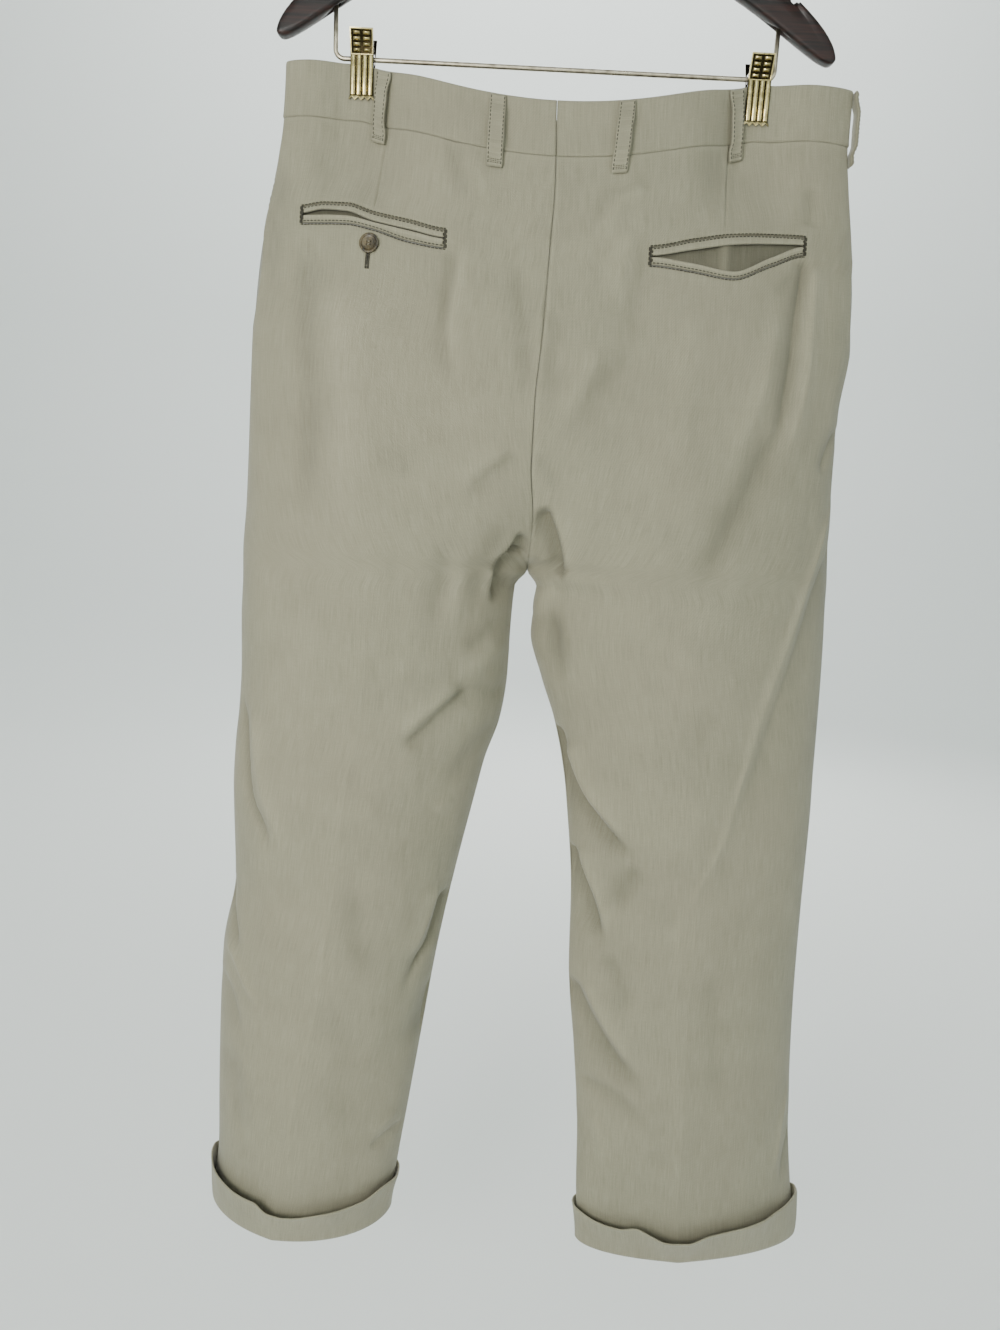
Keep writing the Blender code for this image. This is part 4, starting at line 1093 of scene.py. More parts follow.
def addPanel(half, face):
    s, z, column, slotSpan = panelGrid(half, face)
    points = cloth(half, face, s, z)
    steps = np.linalg.norm(np.diff(points, axis=1), axis=2)
    run = np.concatenate((np.zeros((len(z), 1)), np.cumsum(steps, axis=1)), axis=1)
    drop = np.concatenate((np.zeros((1, z.shape[1])), np.cumsum(np.linalg.norm(np.diff(points, axis=0), axis=2), axis=0)))
    away = np.minimum(np.minimum(run, run[:, -1:] - run), drop)
    keep = np.ones((len(z) - 1, z.shape[1] - 1), bool)
    if slotSpan:
        upper, lower, left, right = slotSpan
        keep[upper:lower, left:right] = False
        # distance from the slot's edge, outside it
        sideways = np.maximum(np.maximum(run[:, left:left + 1] - run, run - run[:, right:right + 1]), 0)
        updown = np.maximum(np.maximum(drop[upper] - drop, drop - drop[lower]), 0)
        slotAway = np.hypot(sideways, updown)
        away = np.minimum(away, slotAway)
    radius = panel["roll"]
    dip = radius - np.sqrt(np.maximum(radius ** 2 - np.maximum(radius - away, 0) ** 2, 0))
    # at the fork the seam edges face each other, and stay close
    facing = smooth(garment["forkTop"] - z, 40 * mm, 120 * mm) * smooth(z, garment["crotch"] - 4 * mm, garment["crotch"])
    dip = dip * (1 - 0.95 * facing * smooth(s, 0.5, 0.9))
    swell = 0.25 * mm * np.exp(-((away - 3.2 * mm) / (1.8 * mm)) ** 2)
    folds = foldHeight(half, face, skin(half, face, s, z))
    points = cloth(half, face, s, z, swell - dip)
    # the inner edge closes on the seam
    points[..., 0] -= sideSign[half] * 0.13 * mm * np.exp(-((run[:, -1:] - run) / (0.8 * mm)) ** 2)
    middle = int(np.argmin(np.abs(column[0] - 0.5)))
    across = run - run[:, middle:middle + 1]
    down = drop[:, middle:middle + 1]
    uv = np.stack((across, -np.broadcast_to(down, across.shape)), axis=-1)
    # painted shade darkens the cloth right at the panel's edges, in the seam ditches; a narrow band just inside them is
    # a little paler
    shade = 0.05 * np.exp(-((away - 1.6 * mm) / (1.3 * mm)) ** 2) - 0.16 * np.exp(-(away / (0.7 * mm)) ** 2)
    # painted shade in the fold troughs and painted highlight on the fold crests
    shade = shade + np.clip(folds / (4 * mm), -1.3, 0.5) * 0.21
    if slotSpan:
        # painted shade round the edge of the pocket slot
        shade = shade - 0.30 * np.exp(-(slotAway / (1.6 * mm)) ** 2)
    name = face + half.capitalize()
    faces = gridFaces(*z.shape)[keep]
    item = meshFrom(name, points, faces, twillMaterial, uv, shade)
    mesh = bmesh.new()
    mesh.from_mesh(item.data)
    bmesh.ops.delete(mesh, geom=[v for v in mesh.verts if not v.link_faces], context="VERTS")
    total = sum((f.normal * f.calc_area() for f in mesh.faces), Vector())
    if total.y * sideSign[face] < 0:
        bmesh.ops.reverse_faces(mesh, faces=mesh.faces)
    flat = sum(f.calc_area() for f in mesh.faces)
    mesh.to_mesh(item.data)
    mesh.free()
    thicken(item, panel["cloth"])
    settle(item, face + "_" + half)
    return item


for half in ("left", "right"):
    for face in ("back", "front"):
        addPanel(half, face)
print("panels made")


# --- waistband ---

band = {
    "proud": 0.6 * mm,
    "cloth": 2.4 * mm,
    "edge": 1.1 * mm,       # roundness of the top edge
    "stations": {"back": 132, "front": 104},
}


def levelNormals(points, outward):
    # directions square to a run of points, flat in plan, on the side of a given vector
    along = np.gradient(points, axis=0)
    along[..., 2] = 0
    normal = unit(np.stack((along[..., 1], -along[..., 0], np.zeros_like(along[..., 0])), axis=-1))
    turned = np.sign(np.sum(normal * outward, axis=-1, keepdims=True))
    return normal * np.where(turned == 0, 1, turned)


def roundTheLeg(half, heights, stations, ends):
    # points and level outward directions from the back's inner edge round the side to the front's
    faces, shares = [], []
    for face in ("back", "front"):
        count = stations[face]
        s = np.linspace(1, 0, count) if face == "back" else np.linspace(0, 1, count)[1:]
        if ends:
            extra = np.array((0.002, 0.005, 0.009))
            s = np.unique(np.concatenate((s, 1 - extra)))
            s = s[::-1] if face == "back" else s
        faces += [face] * len(s)
        shares += list(s)
    faces, shares = np.array(faces), np.array(shares)
    rows = []
    for z in heights:
        zs = np.broadcast_to(z, shares.shape)
        row = np.where((faces == "back")[:, None], skin(half, "back", shares, zs), skin(half, "front", shares, zs))
        rows.append(row)
    points = np.stack(rows, axis=1)
    side = sideSign[half]
    middle = points.mean(axis=0, keepdims=True)
    outward = points - middle
    outward[..., 0] *= 0.15
    outward[..., 1] += np.where(faces == "back", -1.0, 1.0)[:, None] * np.sin(math.pi * np.clip(shares * 1.5, 0, 0.5))[:, None] * 0.2
    outward[..., 0] += side * np.cos(math.pi * np.clip(shares * 1.5, 0, 0.5))[:, None] * 0.2
    return faces, shares, points, levelNormals(points, outward)


def addWaistband(half):
    top, low, edge = garment["waistTop"], garment["waistSeam"] + 0.05 * mm, band["edge"]
    out, inn = band["proud"], band["proud"] - band["cloth"]
    profile = [(low + 0.4 * mm, inn + 0.5 * mm), (low, inn + 1.1 * mm), (low + 0.1 * mm, out - 0.7 * mm), (low + 0.7 * mm, out - 0.1 * mm),
               (low + 1.8 * mm, out + 0.22 * mm), (low + 3.4 * mm, out + 0.15 * mm)]
    profile += [(z, out) for z in np.linspace(low + 6 * mm, top - 4 * mm, 12)]
    profile += [(top - 2 * mm, out - 0.02 * mm), (top - 0.9 * mm, out - 0.28 * mm), (top - 0.2 * mm, out - 0.75 * mm), (top, (out + inn) / 2)]
    profile += [(top - 0.2 * mm, inn + 0.75 * mm), (top - 0.9 * mm, inn + 0.28 * mm), (top - 2.2 * mm, inn)]
    profile += [(z, inn) for z in np.linspace(top - 8 * mm, low + 4 * mm, 5)]
    heights = [z for z, _ in profile]
    offsets = np.array([o for _, o in profile])
    faces, shares, points, normals = roundTheLeg(half, heights, band["stations"], True)
    lift = np.zeros(points.shape[:2])
    for face in ("back", "front"):
        mine = faces == face
        lift[mine] = foldHeight(half, face, points[mine]) * smooth(shares[mine], 0.0, 0.05)[:, None]
    run = np.concatenate(([0], np.cumsum(np.linalg.norm(np.diff(points[:, 8], axis=0), axis=1))))
    away = np.minimum(run, run[-1] - run)
    dip = 1.2 * mm - np.sqrt(np.maximum((1.2 * mm) ** 2 - np.maximum(1.2 * mm - away, 0) ** 2, 0))
    outer = smooth(offsets, inn, out)
    total = offsets[None, :] + lift - dip[:, None] * outer[None, :] + dip[:, None] * (1 - outer[None, :]) * 0.4
    sections = points + normals * total[..., None]
    # painted shade at the band's end seams and along its lower seam; the top edge is a little paler
    seamShade = -0.15 * np.exp(-(away / (0.8 * mm)) ** 2)[:, None] - 0.10 * np.exp(-((np.array(heights) - low) / (1.0 * mm)) ** 2)[None, :]
    edgeShade = 0.05 * np.exp(-((np.array(heights) - top) / (1.6 * mm)) ** 2)[None, :]
    item = sweep("waistband" + half.capitalize(), sections, twillMaterial, shade=seamShade + edgeShade)
    settle(item, "waistband_" + half)


# --- cuffs ---

# share round each face, height of the turn-up's top and how far it stands off
cuffRows = {
    ("left", "back"): ((0.0, 50, 4.0), (0.12, 47, 7.0), (0.26, 45, 10.0), (0.38, 45, 12.0), (0.44, 37, 12.5),
                       (0.50, 36, 12.0), (0.60, 40, 11.5), (0.72, 43, 10.0), (0.82, 48, 7.0), (0.92, 46, 4.4), (1.0, 43, 3.0)),
    ("left", "front"): ((0.0, 50, 4.0), (0.15, 44, 5.5), (0.35, 40, 7.5), (0.46, 37, 6.0), (0.6, 41, 7.0), (0.8, 40, 5.0), (1.0, 43, 3.0)),
    ("right", "back"): ((0.0, 50, 4.0), (0.14, 49, 6.0), (0.22, 48, 8.5), (0.30, 45, 11.0), (0.38, 41, 11.0), (0.46, 39, 12.0),
                        (0.53, 33, 13.5), (0.58, 34, 13.0), (0.62, 39, 11.5), (0.66, 43, 10.0), (0.71, 40, 11.0), (0.80, 40, 9.0),
                        (0.90, 42, 5.0), (1.0, 41, 3.0)),
    ("right", "front"): ((0.0, 50, 4.0), (0.2, 43, 6.5), (0.42, 40, 7.0), (0.54, 36, 5.5), (0.7, 41, 7.5), (0.85, 38, 5.5), (1.0, 41, 3.0)),
}
cuff = {"cloth": 1.9 * mm, "stations": 128, "kink": 1.4 * mm}


def addCuff(half):
    hem = garment["hem"]
    count = cuff["stations"]
    even = np.linspace(0, 1, count)
    s = np.concatenate((even, even[::-1][1:-1]))
    faces = np.array(["back"] * count + ["front"] * (count - 2))
    top, off = np.zeros(len(s)), np.zeros(len(s))
    for face in ("back", "front"):
        mine = faces == face
        top[mine] = readRows(cuffRows[half, face], 1, s[mine]) * mm
        off[mine] = readRows(cuffRows[half, face], 2, s[mine]) * mm
    crease = float(creaseAt(half, hem))
    kink = cuff["kink"] * np.exp(-((s - crease) / 0.016) ** 2)
    wall = cuff["cloth"]
    # share of the height, share of the stand-off, plain part, kink
    profile = [(0, -1.7, 3.4, 0), (0, -1.75, 1.6, 0), (0, -1.1, 0.5, 0), (0, 0.0, 0.05, 0), (0, 1.1, 0.4, 0), (0, 1.75, 1.4, 0)]
    shares = (0.08, 0.16, 0.26, 0.38, 0.50, 0.62, 0.74, 0.85, 0.93)
    profile += [(share, 1.9, 1.4 * (1 - share), share) for share in shares]
    profile += [(1, 1.75, -1.3, 1), (1, 1.4, -0.4, 1), (1, 0.9, 0.0, 1), (1, 0.4, -0.35, 1), (1, 0.1, -1.3, 1)]
    profile += [(share, 0.15, 4.2 * (1 - share), share) for share in (0.85, 0.65, 0.45, 0.25, 0.1)]
    profile += [(0, 0.3, 4.4, 0), (0, 0.15, 2.5, 0), (0, -0.5, 2.2, 0), (0, -1.2, 2.4, 0)]
    sections = np.zeros((len(s), len(profile), 3))
    for j, (share, out, up, bend) in enumerate(profile):
        z = hem + share * top + up * mm
        row = np.where((faces == "back")[:, None], skin(half, "back", s, z), skin(half, "front", s, z))
        closedRow = np.concatenate((row[-1:], row, row[:1]))
        along = closedRow[2:] - closedRow[:-2]
        normal = unit(np.stack((along[:, 1], -along[:, 0], np.zeros(len(s))), axis=-1))
        if np.sum(normal * (row - row.mean(axis=0))) < 0:
            normal = -normal
        ripple = 0.7 * mm * np.sin(s * 21 + 1.3) * share + 0.45 * mm * np.sin(s * 43 + 0.4) * share
        lift = out * mm + off * share ** 1.25 - kink * bend * share + ripple * (0.3 if out < 0.5 else 1) * (share < 1) + ripple * (share >= 1) * 0.6
        sections[:, j] = row + normal * lift[:, None]
    shade = np.zeros(sections.shape[:2])
    # the turn-up's top edge a little paler, and painted shade on the inside and underside of its bottom fold
    shade[:, 15:19] = 0.06
    shade[:, 0:4] = -0.06
    item = sweep("cuff" + half.capitalize(), sections, twillMaterial, closed=True, shade=shade)
    settle(item, "cuff_" + half)


# --- stitches ---

def stitchRows(name, rows, material=None, radius=0.46 * mm, length=2.6 * mm, gap=0.45 * mm, sunk=0.04 * mm):
    # each row is a run of places and outward directions; its stitches are short rods lying along it
    material = material or threadMaterial
    points, faces = [], []
    sides = 6
    angles = np.arange(sides) * 2 * math.pi / sides
    for places, normals in rows:
        places, normals = np.asarray(places), np.asarray(normals)
        run = np.concatenate(([0], np.cumsum(np.linalg.norm(np.diff(places, axis=0), axis=1))))
        count = max(int(run[-1] / (length + gap)), 1)
        pitch = run[-1] / count
        for i in range(count):
            first, last = pitch * i + gap / 2, pitch * (i + 1) - gap / 2
            spots = np.array((first, first + (last - first) * 0.16, (first + last) / 2, last - (last - first) * 0.16, last))
            middle = np.stack([np.interp(spots, run, places[:, k]) for k in range(3)], axis=1)
            up = unit(np.stack([np.interp(spots, run, normals[:, k]) for k in range(3)], axis=1))
            along = unit(middle[-1] - middle[0])
            side = unit(np.cross(along, up))
            swell = np.array((0.35, 0.9, 1.0, 0.9, 0.35))[:, None, None] * radius
            depth = np.array((-1.0, -0.1, 0.15, -0.1, -1.0))[:, None] * radius - sunk
            centre = middle + up * depth
            ring = centre[:, None] + swell * (np.cos(angles)[None, :, None] * side[:, None] + np.sin(angles)[None, :, None] * up[:, None])
            base = len(points)
            points.extend(ring.reshape(-1, 3))
            index = base + np.arange(5 * sides).reshape(5, sides)
            index = np.concatenate((index, index[:, :1]), axis=1)
            quads = np.stack((index[:-1, :-1], index[1:, :-1], index[1:, 1:], index[:-1, 1:]), axis=-1).reshape(-1, 4)
            faces += quads.tolist() + [index[0, :-1][::-1].tolist(), index[-1, :-1].tolist()]
    item = meshFrom(name, np.array(points), faces, material)
    mesh = bmesh.new()
    mesh.from_mesh(item.data)
    bmesh.ops.recalc_face_normals(mesh, faces=mesh.faces)
    mesh.to_mesh(item.data)
    mesh.free()
    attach(item, "root")
    return item


def layOn(half, face, x, z, out=0.0, count=None):
    # a run over the cloth through real places, given across and down in metres
    way = smoothPath(np.stack((x, z), axis=1), count or max(8, len(x) * 4))
    return onCloth(half, face, way[:, 0], way[:, 1], np.full(len(way), out))


# --- back pockets ---

def pocketCurve(half, name, shift, inset, count=60):
    # one of the pocket's curves, moved up or down, between insets from its ends
    first, last = pocketEnds(half, inset)
    x = np.linspace(first, last, count)
    return x, pocketAt(half, name, x) + shift


def addWelt(half, upper):
    # folded strip with its seam edge tucked in and its mouth edge rolled
    x0, x1 = pocketEnds(half, pocket["endIn"] + 0.1 * mm)
    count = 90
    x = np.linspace(x0, x1, count)
    sign = -1 if upper else 1
    seamZ = pocketAt(half, "top" if upper else "bottom", x) + sign * (pocket["seamIn"] + 0.1 * mm)
    mouthZ = pocketAt(half, "mouth top" if upper else "mouth bottom", x)
    gape = pocketAt(half, "stand out", x)
    ends = smooth(x, x0, x0 + 2 * mm) * smooth(-x, -x1, -x1 + 2 * mm)
    # share of the way from the seam to the mouth, distance out
    profile = ((0.00, -1.2), (0.01, -0.45), (0.07, 0.22), (0.18, 0.52), (0.34, 0.62), (0.50, 0.62), (0.62, 0.72),
               (0.75, 0.95), (0.88, 0.95), (0.97, 0.55), (1.01, -0.2), (0.99, -1.2), (0.90, -2.0), (0.6, -2.3), (0.25, -2.3), (0.05, -2.2))
    sections = np.zeros((count, len(profile), 3))
    for j, (share, out) in enumerate(profile):
        z = seamZ + (mouthZ - seamZ) * share
        lift = (out + gape * (0 if upper else 1) * max(share, 0) ** 1.5 * (0.9 if out > -1 else 0.75)) * mm
        lift = lift * (0.25 + 0.75 * ends) - 0.5 * mm * (1 - ends)
        sections[:, j] = onCloth(half, "back", x, z, lift)[0]
    shade = np.zeros(sections.shape[:2])
    # the rolled mouth edge a little paler; painted shade in the tucked seam edge and along the inner stitch row
    shade[:, 6:10] = 0.07 if upper else 0.12
    shade[:, 0:2] = -0.30
    shade[:, 3] = -0.14
    name = "pocket_%s_welt_%s" % (half, "upper" if upper else "lower")
    item = sweep(half + ("UpperWelt" if upper else "LowerWelt"), sections, twillMaterial, shade=shade)
    settle(item, name)


def addPocketFacing(half):
    # the cloth seen inside the mouth, with the soft fold of the gaping one, darkened with painted shade
    x0, x1 = pocketEnds(half, -4 * mm)
    count, rows = 70, 14
    x = np.linspace(x0, x1, count)
    share = np.linspace(0, 1, rows)[:, None]
    top = pocketAt(half, "top", x) + 4 * mm
    low = pocketAt(half, "bottom", x) - 4 * mm
    z = top * (1 - share) + low * share
    xs = np.broadcast_to(x, z.shape)
    out = np.full(z.shape, -4.2 * mm)
    gape = pocketAt(half, "stand out", np.clip(xs, *pocketEnds(half)))
    out = out - 0.75 * mm * gape * np.sin(np.pi * share)
    if half == "right":
        out = out + 2.2 * mm * np.exp(-((xs - 143 * mm) / (4 * mm)) ** 2) - 1.4 * mm * np.exp(-((xs - 128 * mm) / (7 * mm)) ** 2)
    points = onCloth(half, "back", xs.ravel(), z.ravel(), out.ravel())[0].reshape(rows, count, 3)
    uv = np.stack((xs, z), axis=-1)
    # painted shade inside the mouth, darkest under the upper welt, with a painted highlight on the gaping pocket's fold
    dark = -0.66 if half == "left" else -0.60
    shade = dark + 0.14 * share + 0.20 * np.exp(-((xs - 143 * mm) / (4 * mm)) ** 2)
    item = meshFrom(half + "PocketFacing", points, gridFaces(rows, count).reshape(-1, 4), twillMaterial, uv, shade)
    turnOut(item, "back")
    thicken(item, 0.9 * mm)
    settle(item, "pocket_%s_facing" % half)


def turnOut(item, face):
    mesh = bmesh.new()
    mesh.from_mesh(item.data)
    total = sum((f.normal * f.calc_area() for f in mesh.faces), Vector())
    if total.y * sideSign[face] < 0:
        bmesh.ops.reverse_faces(mesh, faces=mesh.faces)
    mesh.to_mesh(item.data)
    mesh.free()


def addPocketStitches(half):
    # an outer row on the seat, an inner row on the welts, joined at the ends
    rows = []
    for inset, out in ((0.0, 0.05 * mm), (2.6 * mm, 0.62 * mm)):
        outs = {"top": out, "bottom": out}
        upX, upZ = pocketCurve(half, "top", -inset, inset)
        lowX, lowZ = pocketCurve(half, "bottom", inset, inset)
        rows.append(onCloth(half, "back", upX, upZ, np.full(len(upX), out)))
        gape = 0.0
        rows.append(onCloth(half, "back", lowX, lowZ, np.full(len(lowX), out) + gape))
        for x, top, low in ((upX[0], upZ[0], lowZ[0]), (upX[-1], upZ[-1], lowZ[-1])):
            z = np.linspace(top - 0.6 * mm, low + 0.6 * mm, 9)
            rows.append(onCloth(half, "back", np.full(9, x), z, np.full(9, max(out, 0.35 * mm))))
    stitchRows(half + "PocketStitches", rows)
    # bar tacks, close stitches across each end
    tacks = []
    for end in pocketEnds(half, 1.3 * mm):
        top = float(pocketAt(half, "top", end)) - 1.0 * mm
        low = float(pocketAt(half, "bottom", end)) + 1.0 * mm
        for z in np.linspace(top, low, 22):
            x = np.array((end - 1.1 * mm, end, end + 1.1 * mm))
            tacks.append(onCloth(half, "back", x, np.full(3, z), np.full(3, 0.45 * mm)))
    stitchRows(half + "PocketTacks", tacks, radius=0.26 * mm, length=1.9 * mm, gap=0.1 * mm)


# --- belt loops ---

# half, face, place across at the top and at the bottom, clearance under it
loopRows = {
    "belt_loop_back_1": ("left", "back", -134.0, -137.5, 1.15),
    "belt_loop_back_2": ("left", "back", -43.0, -43.5, 0.6),
    "belt_loop_back_3": ("right", "back", 58.0, 54.0, 0.6),
    "belt_loop_back_4": ("right", "back", 144.5, 148.0, 1.15),
    "belt_loop_side_left": ("left", "front", -206.0, -208.0, 0.6),
    "belt_loop_side_right": ("right", "front", 250.0, 250.0, 0.6),
    "belt_loop_front_left": ("left", "front", -100.0, -101.0, 0.6),
    "belt_loop_front_right": ("right", "front", 112.0, 113.0, 0.6),
}
loop = {"width": 12.8 * mm, "cloth": 2.3 * mm, "top": 1.2 * mm, "tail": 14 * mm, "bow": 2.9 * mm, "stitchIn": 1.35 * mm}


def loopFrame(half, face, x, z, away, atSide):
    # place on the band and the way out, at a distance to either side of the loop's middle
    if atSide:
        base, _, _ = skinFrame(half, face, 0.0, z)
        out = np.broadcast_to(np.array((sideSign[half], 0.0, 0.0)), base.shape)
        return base + np.array((0.0, 1.0, 0.0)) * away[..., None], out
    flat = z
    s = findS(half, x + away, flat)
    base, _, normal = skinFrame(half, face, s, flat)
    return base, normal


def addLoop(node, half, face, topX, lowX, clear):
    low, high = garment["waistSeam"] - loop["tail"], garment["waistTop"] - loop["top"]
    atSide = abs(topX) * mm > abs(float(edgesAt(half, garment["waistSeam"])[0]))
    share = np.linspace(0, 1, 44)
    z = low + (high - low) * share
    x = (lowX + (topX - lowX) * share) * mm
    bow = smooth(share, 0.12, 0.30) * (1 - smooth(share, 0.70, 0.93))
    pinch = 0.35 * mm * np.sin(share * 17 + topX)
    lift = band["proud"] + clear * mm + loop["bow"] * bow
    wide, thick = loop["width"] / 2, loop["cloth"]
    profile = [(-1.0, 0.5), (-0.97, 0.82), (-0.90, 1.0), (-0.72, 1.06), (-0.5, 0.98), (0, 0.96), (0.5, 0.98), (0.72, 1.06), (0.90, 1.0), (0.97, 0.82), (1.0, 0.5),
               (0.96, 0.12), (0.86, 0.0), (0, 0.0), (-0.86, 0.0), (-0.96, 0.12)]
    # the ends are turned under, so their corners are round
    fromEnd = np.minimum(share, 1 - share) * (high - low)
    narrow = 1 - 0.10 * np.exp(-(fromEnd / (1.2 * mm)) ** 2)
    thin = 1 - 0.45 * np.exp(-(fromEnd / (0.8 * mm)) ** 2)
    sections = np.zeros((len(share), len(profile), 3))
    for j, (across, up) in enumerate(profile):
        away = across * wide * narrow + pinch * 0.5
        base, normal = loopFrame(half, face, x, z, away, atSide)
        sections[:, j] = base + normal * (lift + up * thick * thin)[:, None]
    shade = np.zeros(sections.shape[:2])
    # the raised parts near the edges a little paler; painted shade along the loop's two side edges
    shade[:, 2:4] = 0.06
    shade[:, 7:9] = 0.06
    shade[:, 0] = shade[:, 10] = -0.38
    item = sweep(node.replace("_", " ").title().replace(" ", ""), sections, twillMaterial, shade=shade)
    settle(item, node)
    rows = []
    for side in (-1, 1):
        away = np.full(len(share), side * (wide - loop["stitchIn"]))
        base, normal = loopFrame(half, face, x, z, away, atSide)
        rows.append(((base + normal * (lift + 1.0 * thick)[:, None])[1:-1], normal[1:-1]))
    tacks = []
    for k, at in enumerate((2, 3, 4)):
        away = np.linspace(-wide * 0.82, wide * 0.82, 7)
        base, normal = loopFrame(half, face, np.full(7, x[at]), np.full(7, z[at]), away, atSide)
        tacks.append((base + normal * (lift[at] + 0.99 * thick), normal))
    return rows, tacks


# --- front: fly, slant pockets ---

fly = {"width": 38 * mm, "overlap": 4 * mm, "end": -405 * mm, "cloth": 1.2 * mm, "curve": 5, "stitchIn": 5 * mm}


def flyPoint(z, share, out, inset=0.0):
    top = garment["waistSeam"] - 0.6 * mm
    down = np.clip((z - top) / (fly["end"] - top), 0, 1)
    centre = edgesAt("right", z)[1]
    reach = (fly["width"] - inset) * np.sqrt(np.maximum(1 - (down * 0.98) ** fly["curve"], 0))
    x = centre + fly["overlap"] - (reach + fly["overlap"]) * share
    result = np.zeros(x.shape + (3,))
    normals = np.zeros(x.shape + (3,))
    for half in ("left", "right"):
        mine = (x > centre) if half == "right" else (x <= centre)
        s = findS(half, x[mine], z[mine])
        base, _, normal = skinFrame(half, "front", s, z[mine])
        lift = foldHeight(half, "front", base)
        result[mine] = base + normal * (np.broadcast_to(out, x.shape)[mine] + lift)[:, None]
        normals[mine] = normal
    return result, normals


def addFly():
    rows, columns = 70, 22
    z = np.linspace(garment["waistSeam"] - 0.6 * mm, fly["end"], rows)[:, None] * np.ones((1, columns))
    share = np.linspace(0, 1, columns)[None, :] * np.ones((rows, 1))
    points, _ = flyPoint(z, share, fly["cloth"] + 0.6 * mm)
    # the outer edge rolls in
    edge = np.minimum(share, 1 - share) * fly["width"]
    points, _ = flyPoint(z, share, fly["cloth"] + 0.6 * mm - 0.6 * mm * np.exp(-(edge / (0.8 * mm)) ** 2))
    uv = points[..., (0, 2)]
    item = meshFrom("flyFlap", points, gridFaces(rows, columns).reshape(-1, 4), twillMaterial, uv, np.zeros(z.shape))
    turnOut(item, "front")
    thicken(item, fly["cloth"])
    settle(item, "fly_flap")
    rows = []
    for inset in (fly["stitchIn"], fly["stitchIn"] + 2.6 * mm):
        down = np.linspace(garment["waistSeam"] - 3 * mm, fly["end"] + inset * 0.9, 80)
        place, normal = flyPoint(down, np.ones(80), fly["cloth"] + 0.62 * mm, inset)
        rows.append((place, normal))
    stitchRows("flyStitches", rows)


def addSlantPocket(half):
    # facing behind the slanted edge, and two rows of stitches along it
    rows, columns = 60, 16
    z = np.linspace(garment["waistSeam"] + 3 * mm, garment["slantEnd"] + 14 * mm, rows)[:, None] * np.ones((1, columns))
    start = slantS(half, z)
    under = start + 0.075 * (1 - start)
    s = under * np.linspace(0, 1, columns)[None, :]
    points = cloth(half, "front", s, z, -panel["cloth"] - 0.5 * mm - 1.0 * mm * np.exp(-(s / 0.03) ** 2))
    # the facing is slightly darkened with painted shade
    item = meshFrom(half + "SlantFacing", points, gridFaces(rows, columns).reshape(-1, 4), twillMaterial, points[..., (0, 2)], np.full(z.shape, -0.03))
    turnOut(item, "front")
    thicken(item, 0.9 * mm)
    settle(item, "front_pocket_facing_" + half)
    stitches = []
    for inset in (1.6 * mm, 6.4 * mm):
        down = np.linspace(garment["waistSeam"] - 3 * mm, garment["slantEnd"] + 10 * mm, 70)
        s = slantS(half, down)
        wide = np.linalg.norm(skin(half, "front", s + 0.01, down) - skin(half, "front", s, down), axis=-1)
        place = cloth(half, "front", s + inset * 0.01 / wide, down, 0.05 * mm)
        normal = skinFrame(half, "front", s, down)[2]
        stitches.append((place, normal))
    stitchRows(half + "SlantStitches", stitches)
    tacks = []
    for at in (garment["waistSeam"] - 9 * mm, garment["slantEnd"] + 12 * mm):
        for k in range(9):
            z1 = np.full(3, at - k * 0.55 * mm)
            s0 = float(slantS(half, z1[0]))
            s = s0 + np.array((-0.004, 0.006, 0.020))
            place = cloth(half, "front", np.maximum(s, 0), z1, 0.2 * mm)
            tacks.append((place, skinFrame(half, "front", np.maximum(s, 0), z1)[2]))
    stitchRows(half + "SlantTacks", tacks, radius=0.26 * mm, length=3.5 * mm, gap=0.1 * mm)


for half in ("left", "right"):
    addWaistband(half)
    addCuff(half)
    addPocketFacing(half)
    addWelt(half, True)
    addWelt(half, False)
    addPocketStitches(half)
    addSlantPocket(half)
addFly()
loopStitches, loopTacks = [], []
for node, row in loopRows.items():
    rows, tacks = addLoop(node, *row)
    loopStitches += rows
    loopTacks += tacks
stitchRows("loopStitches", loopStitches)
stitchRows("loopTacks", loopTacks, radius=0.26 * mm, length=1.5 * mm, gap=0.15 * mm)
print("waistband, cuffs, pockets and loops made")


# --- hanger, wires, clips and buttons ---

def asMade(name, node, material, angle=40, levels=0):
    # a copy of the solid, merged and smoothed, with its own mesh
    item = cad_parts[node].copy()
    item.data = item.data.copy()
    item.name = name
    bpy.context.collection.objects.link(item)
    item.data.materials.clear()
    item.data.materials.append(material)
    pickOnly(item)
    bpy.ops.object.mode_set(mode="EDIT")
    bpy.ops.mesh.select_all(action="SELECT")
    bpy.ops.mesh.remove_doubles(threshold=0.02 * mm)
    bpy.ops.mesh.tris_convert_to_quads()
    bpy.ops.object.mode_set(mode="OBJECT")
    if levels:
        finer = item.modifiers.new("finer", "SUBSURF")
        finer.levels = finer.render_levels = levels
        applyModifier(item, "finer")
    bpy.ops.object.shade_smooth_by_angle(angle=math.radians(angle))
    settle(item, node)
    return item


def pickOnly(item):
    deselectAll()
    item.select_set(True)
    bpy.context.view_layer.objects.active = item


def pickFaces(item, test):
    # leaves edit mode on, with only the faces that pass the test selected
    if item.mode != "EDIT":
        pickOnly(item)
        bpy.ops.object.mode_set(mode="EDIT")
    bpy.ops.mesh.select_mode(type="FACE")
    bpy.ops.mesh.select_all(action="DESELECT")
    mesh = bmesh.from_edit_mesh(item.data)
    mesh.faces.ensure_lookup_table()
    found = 0
    for face in mesh.faces:
        if test(face.calc_center_median(), face.normal):
            face.select_set(True)
            found += 1
    mesh.select_flush_mode()
    bmesh.update_edit_mesh(item.data)
    return found


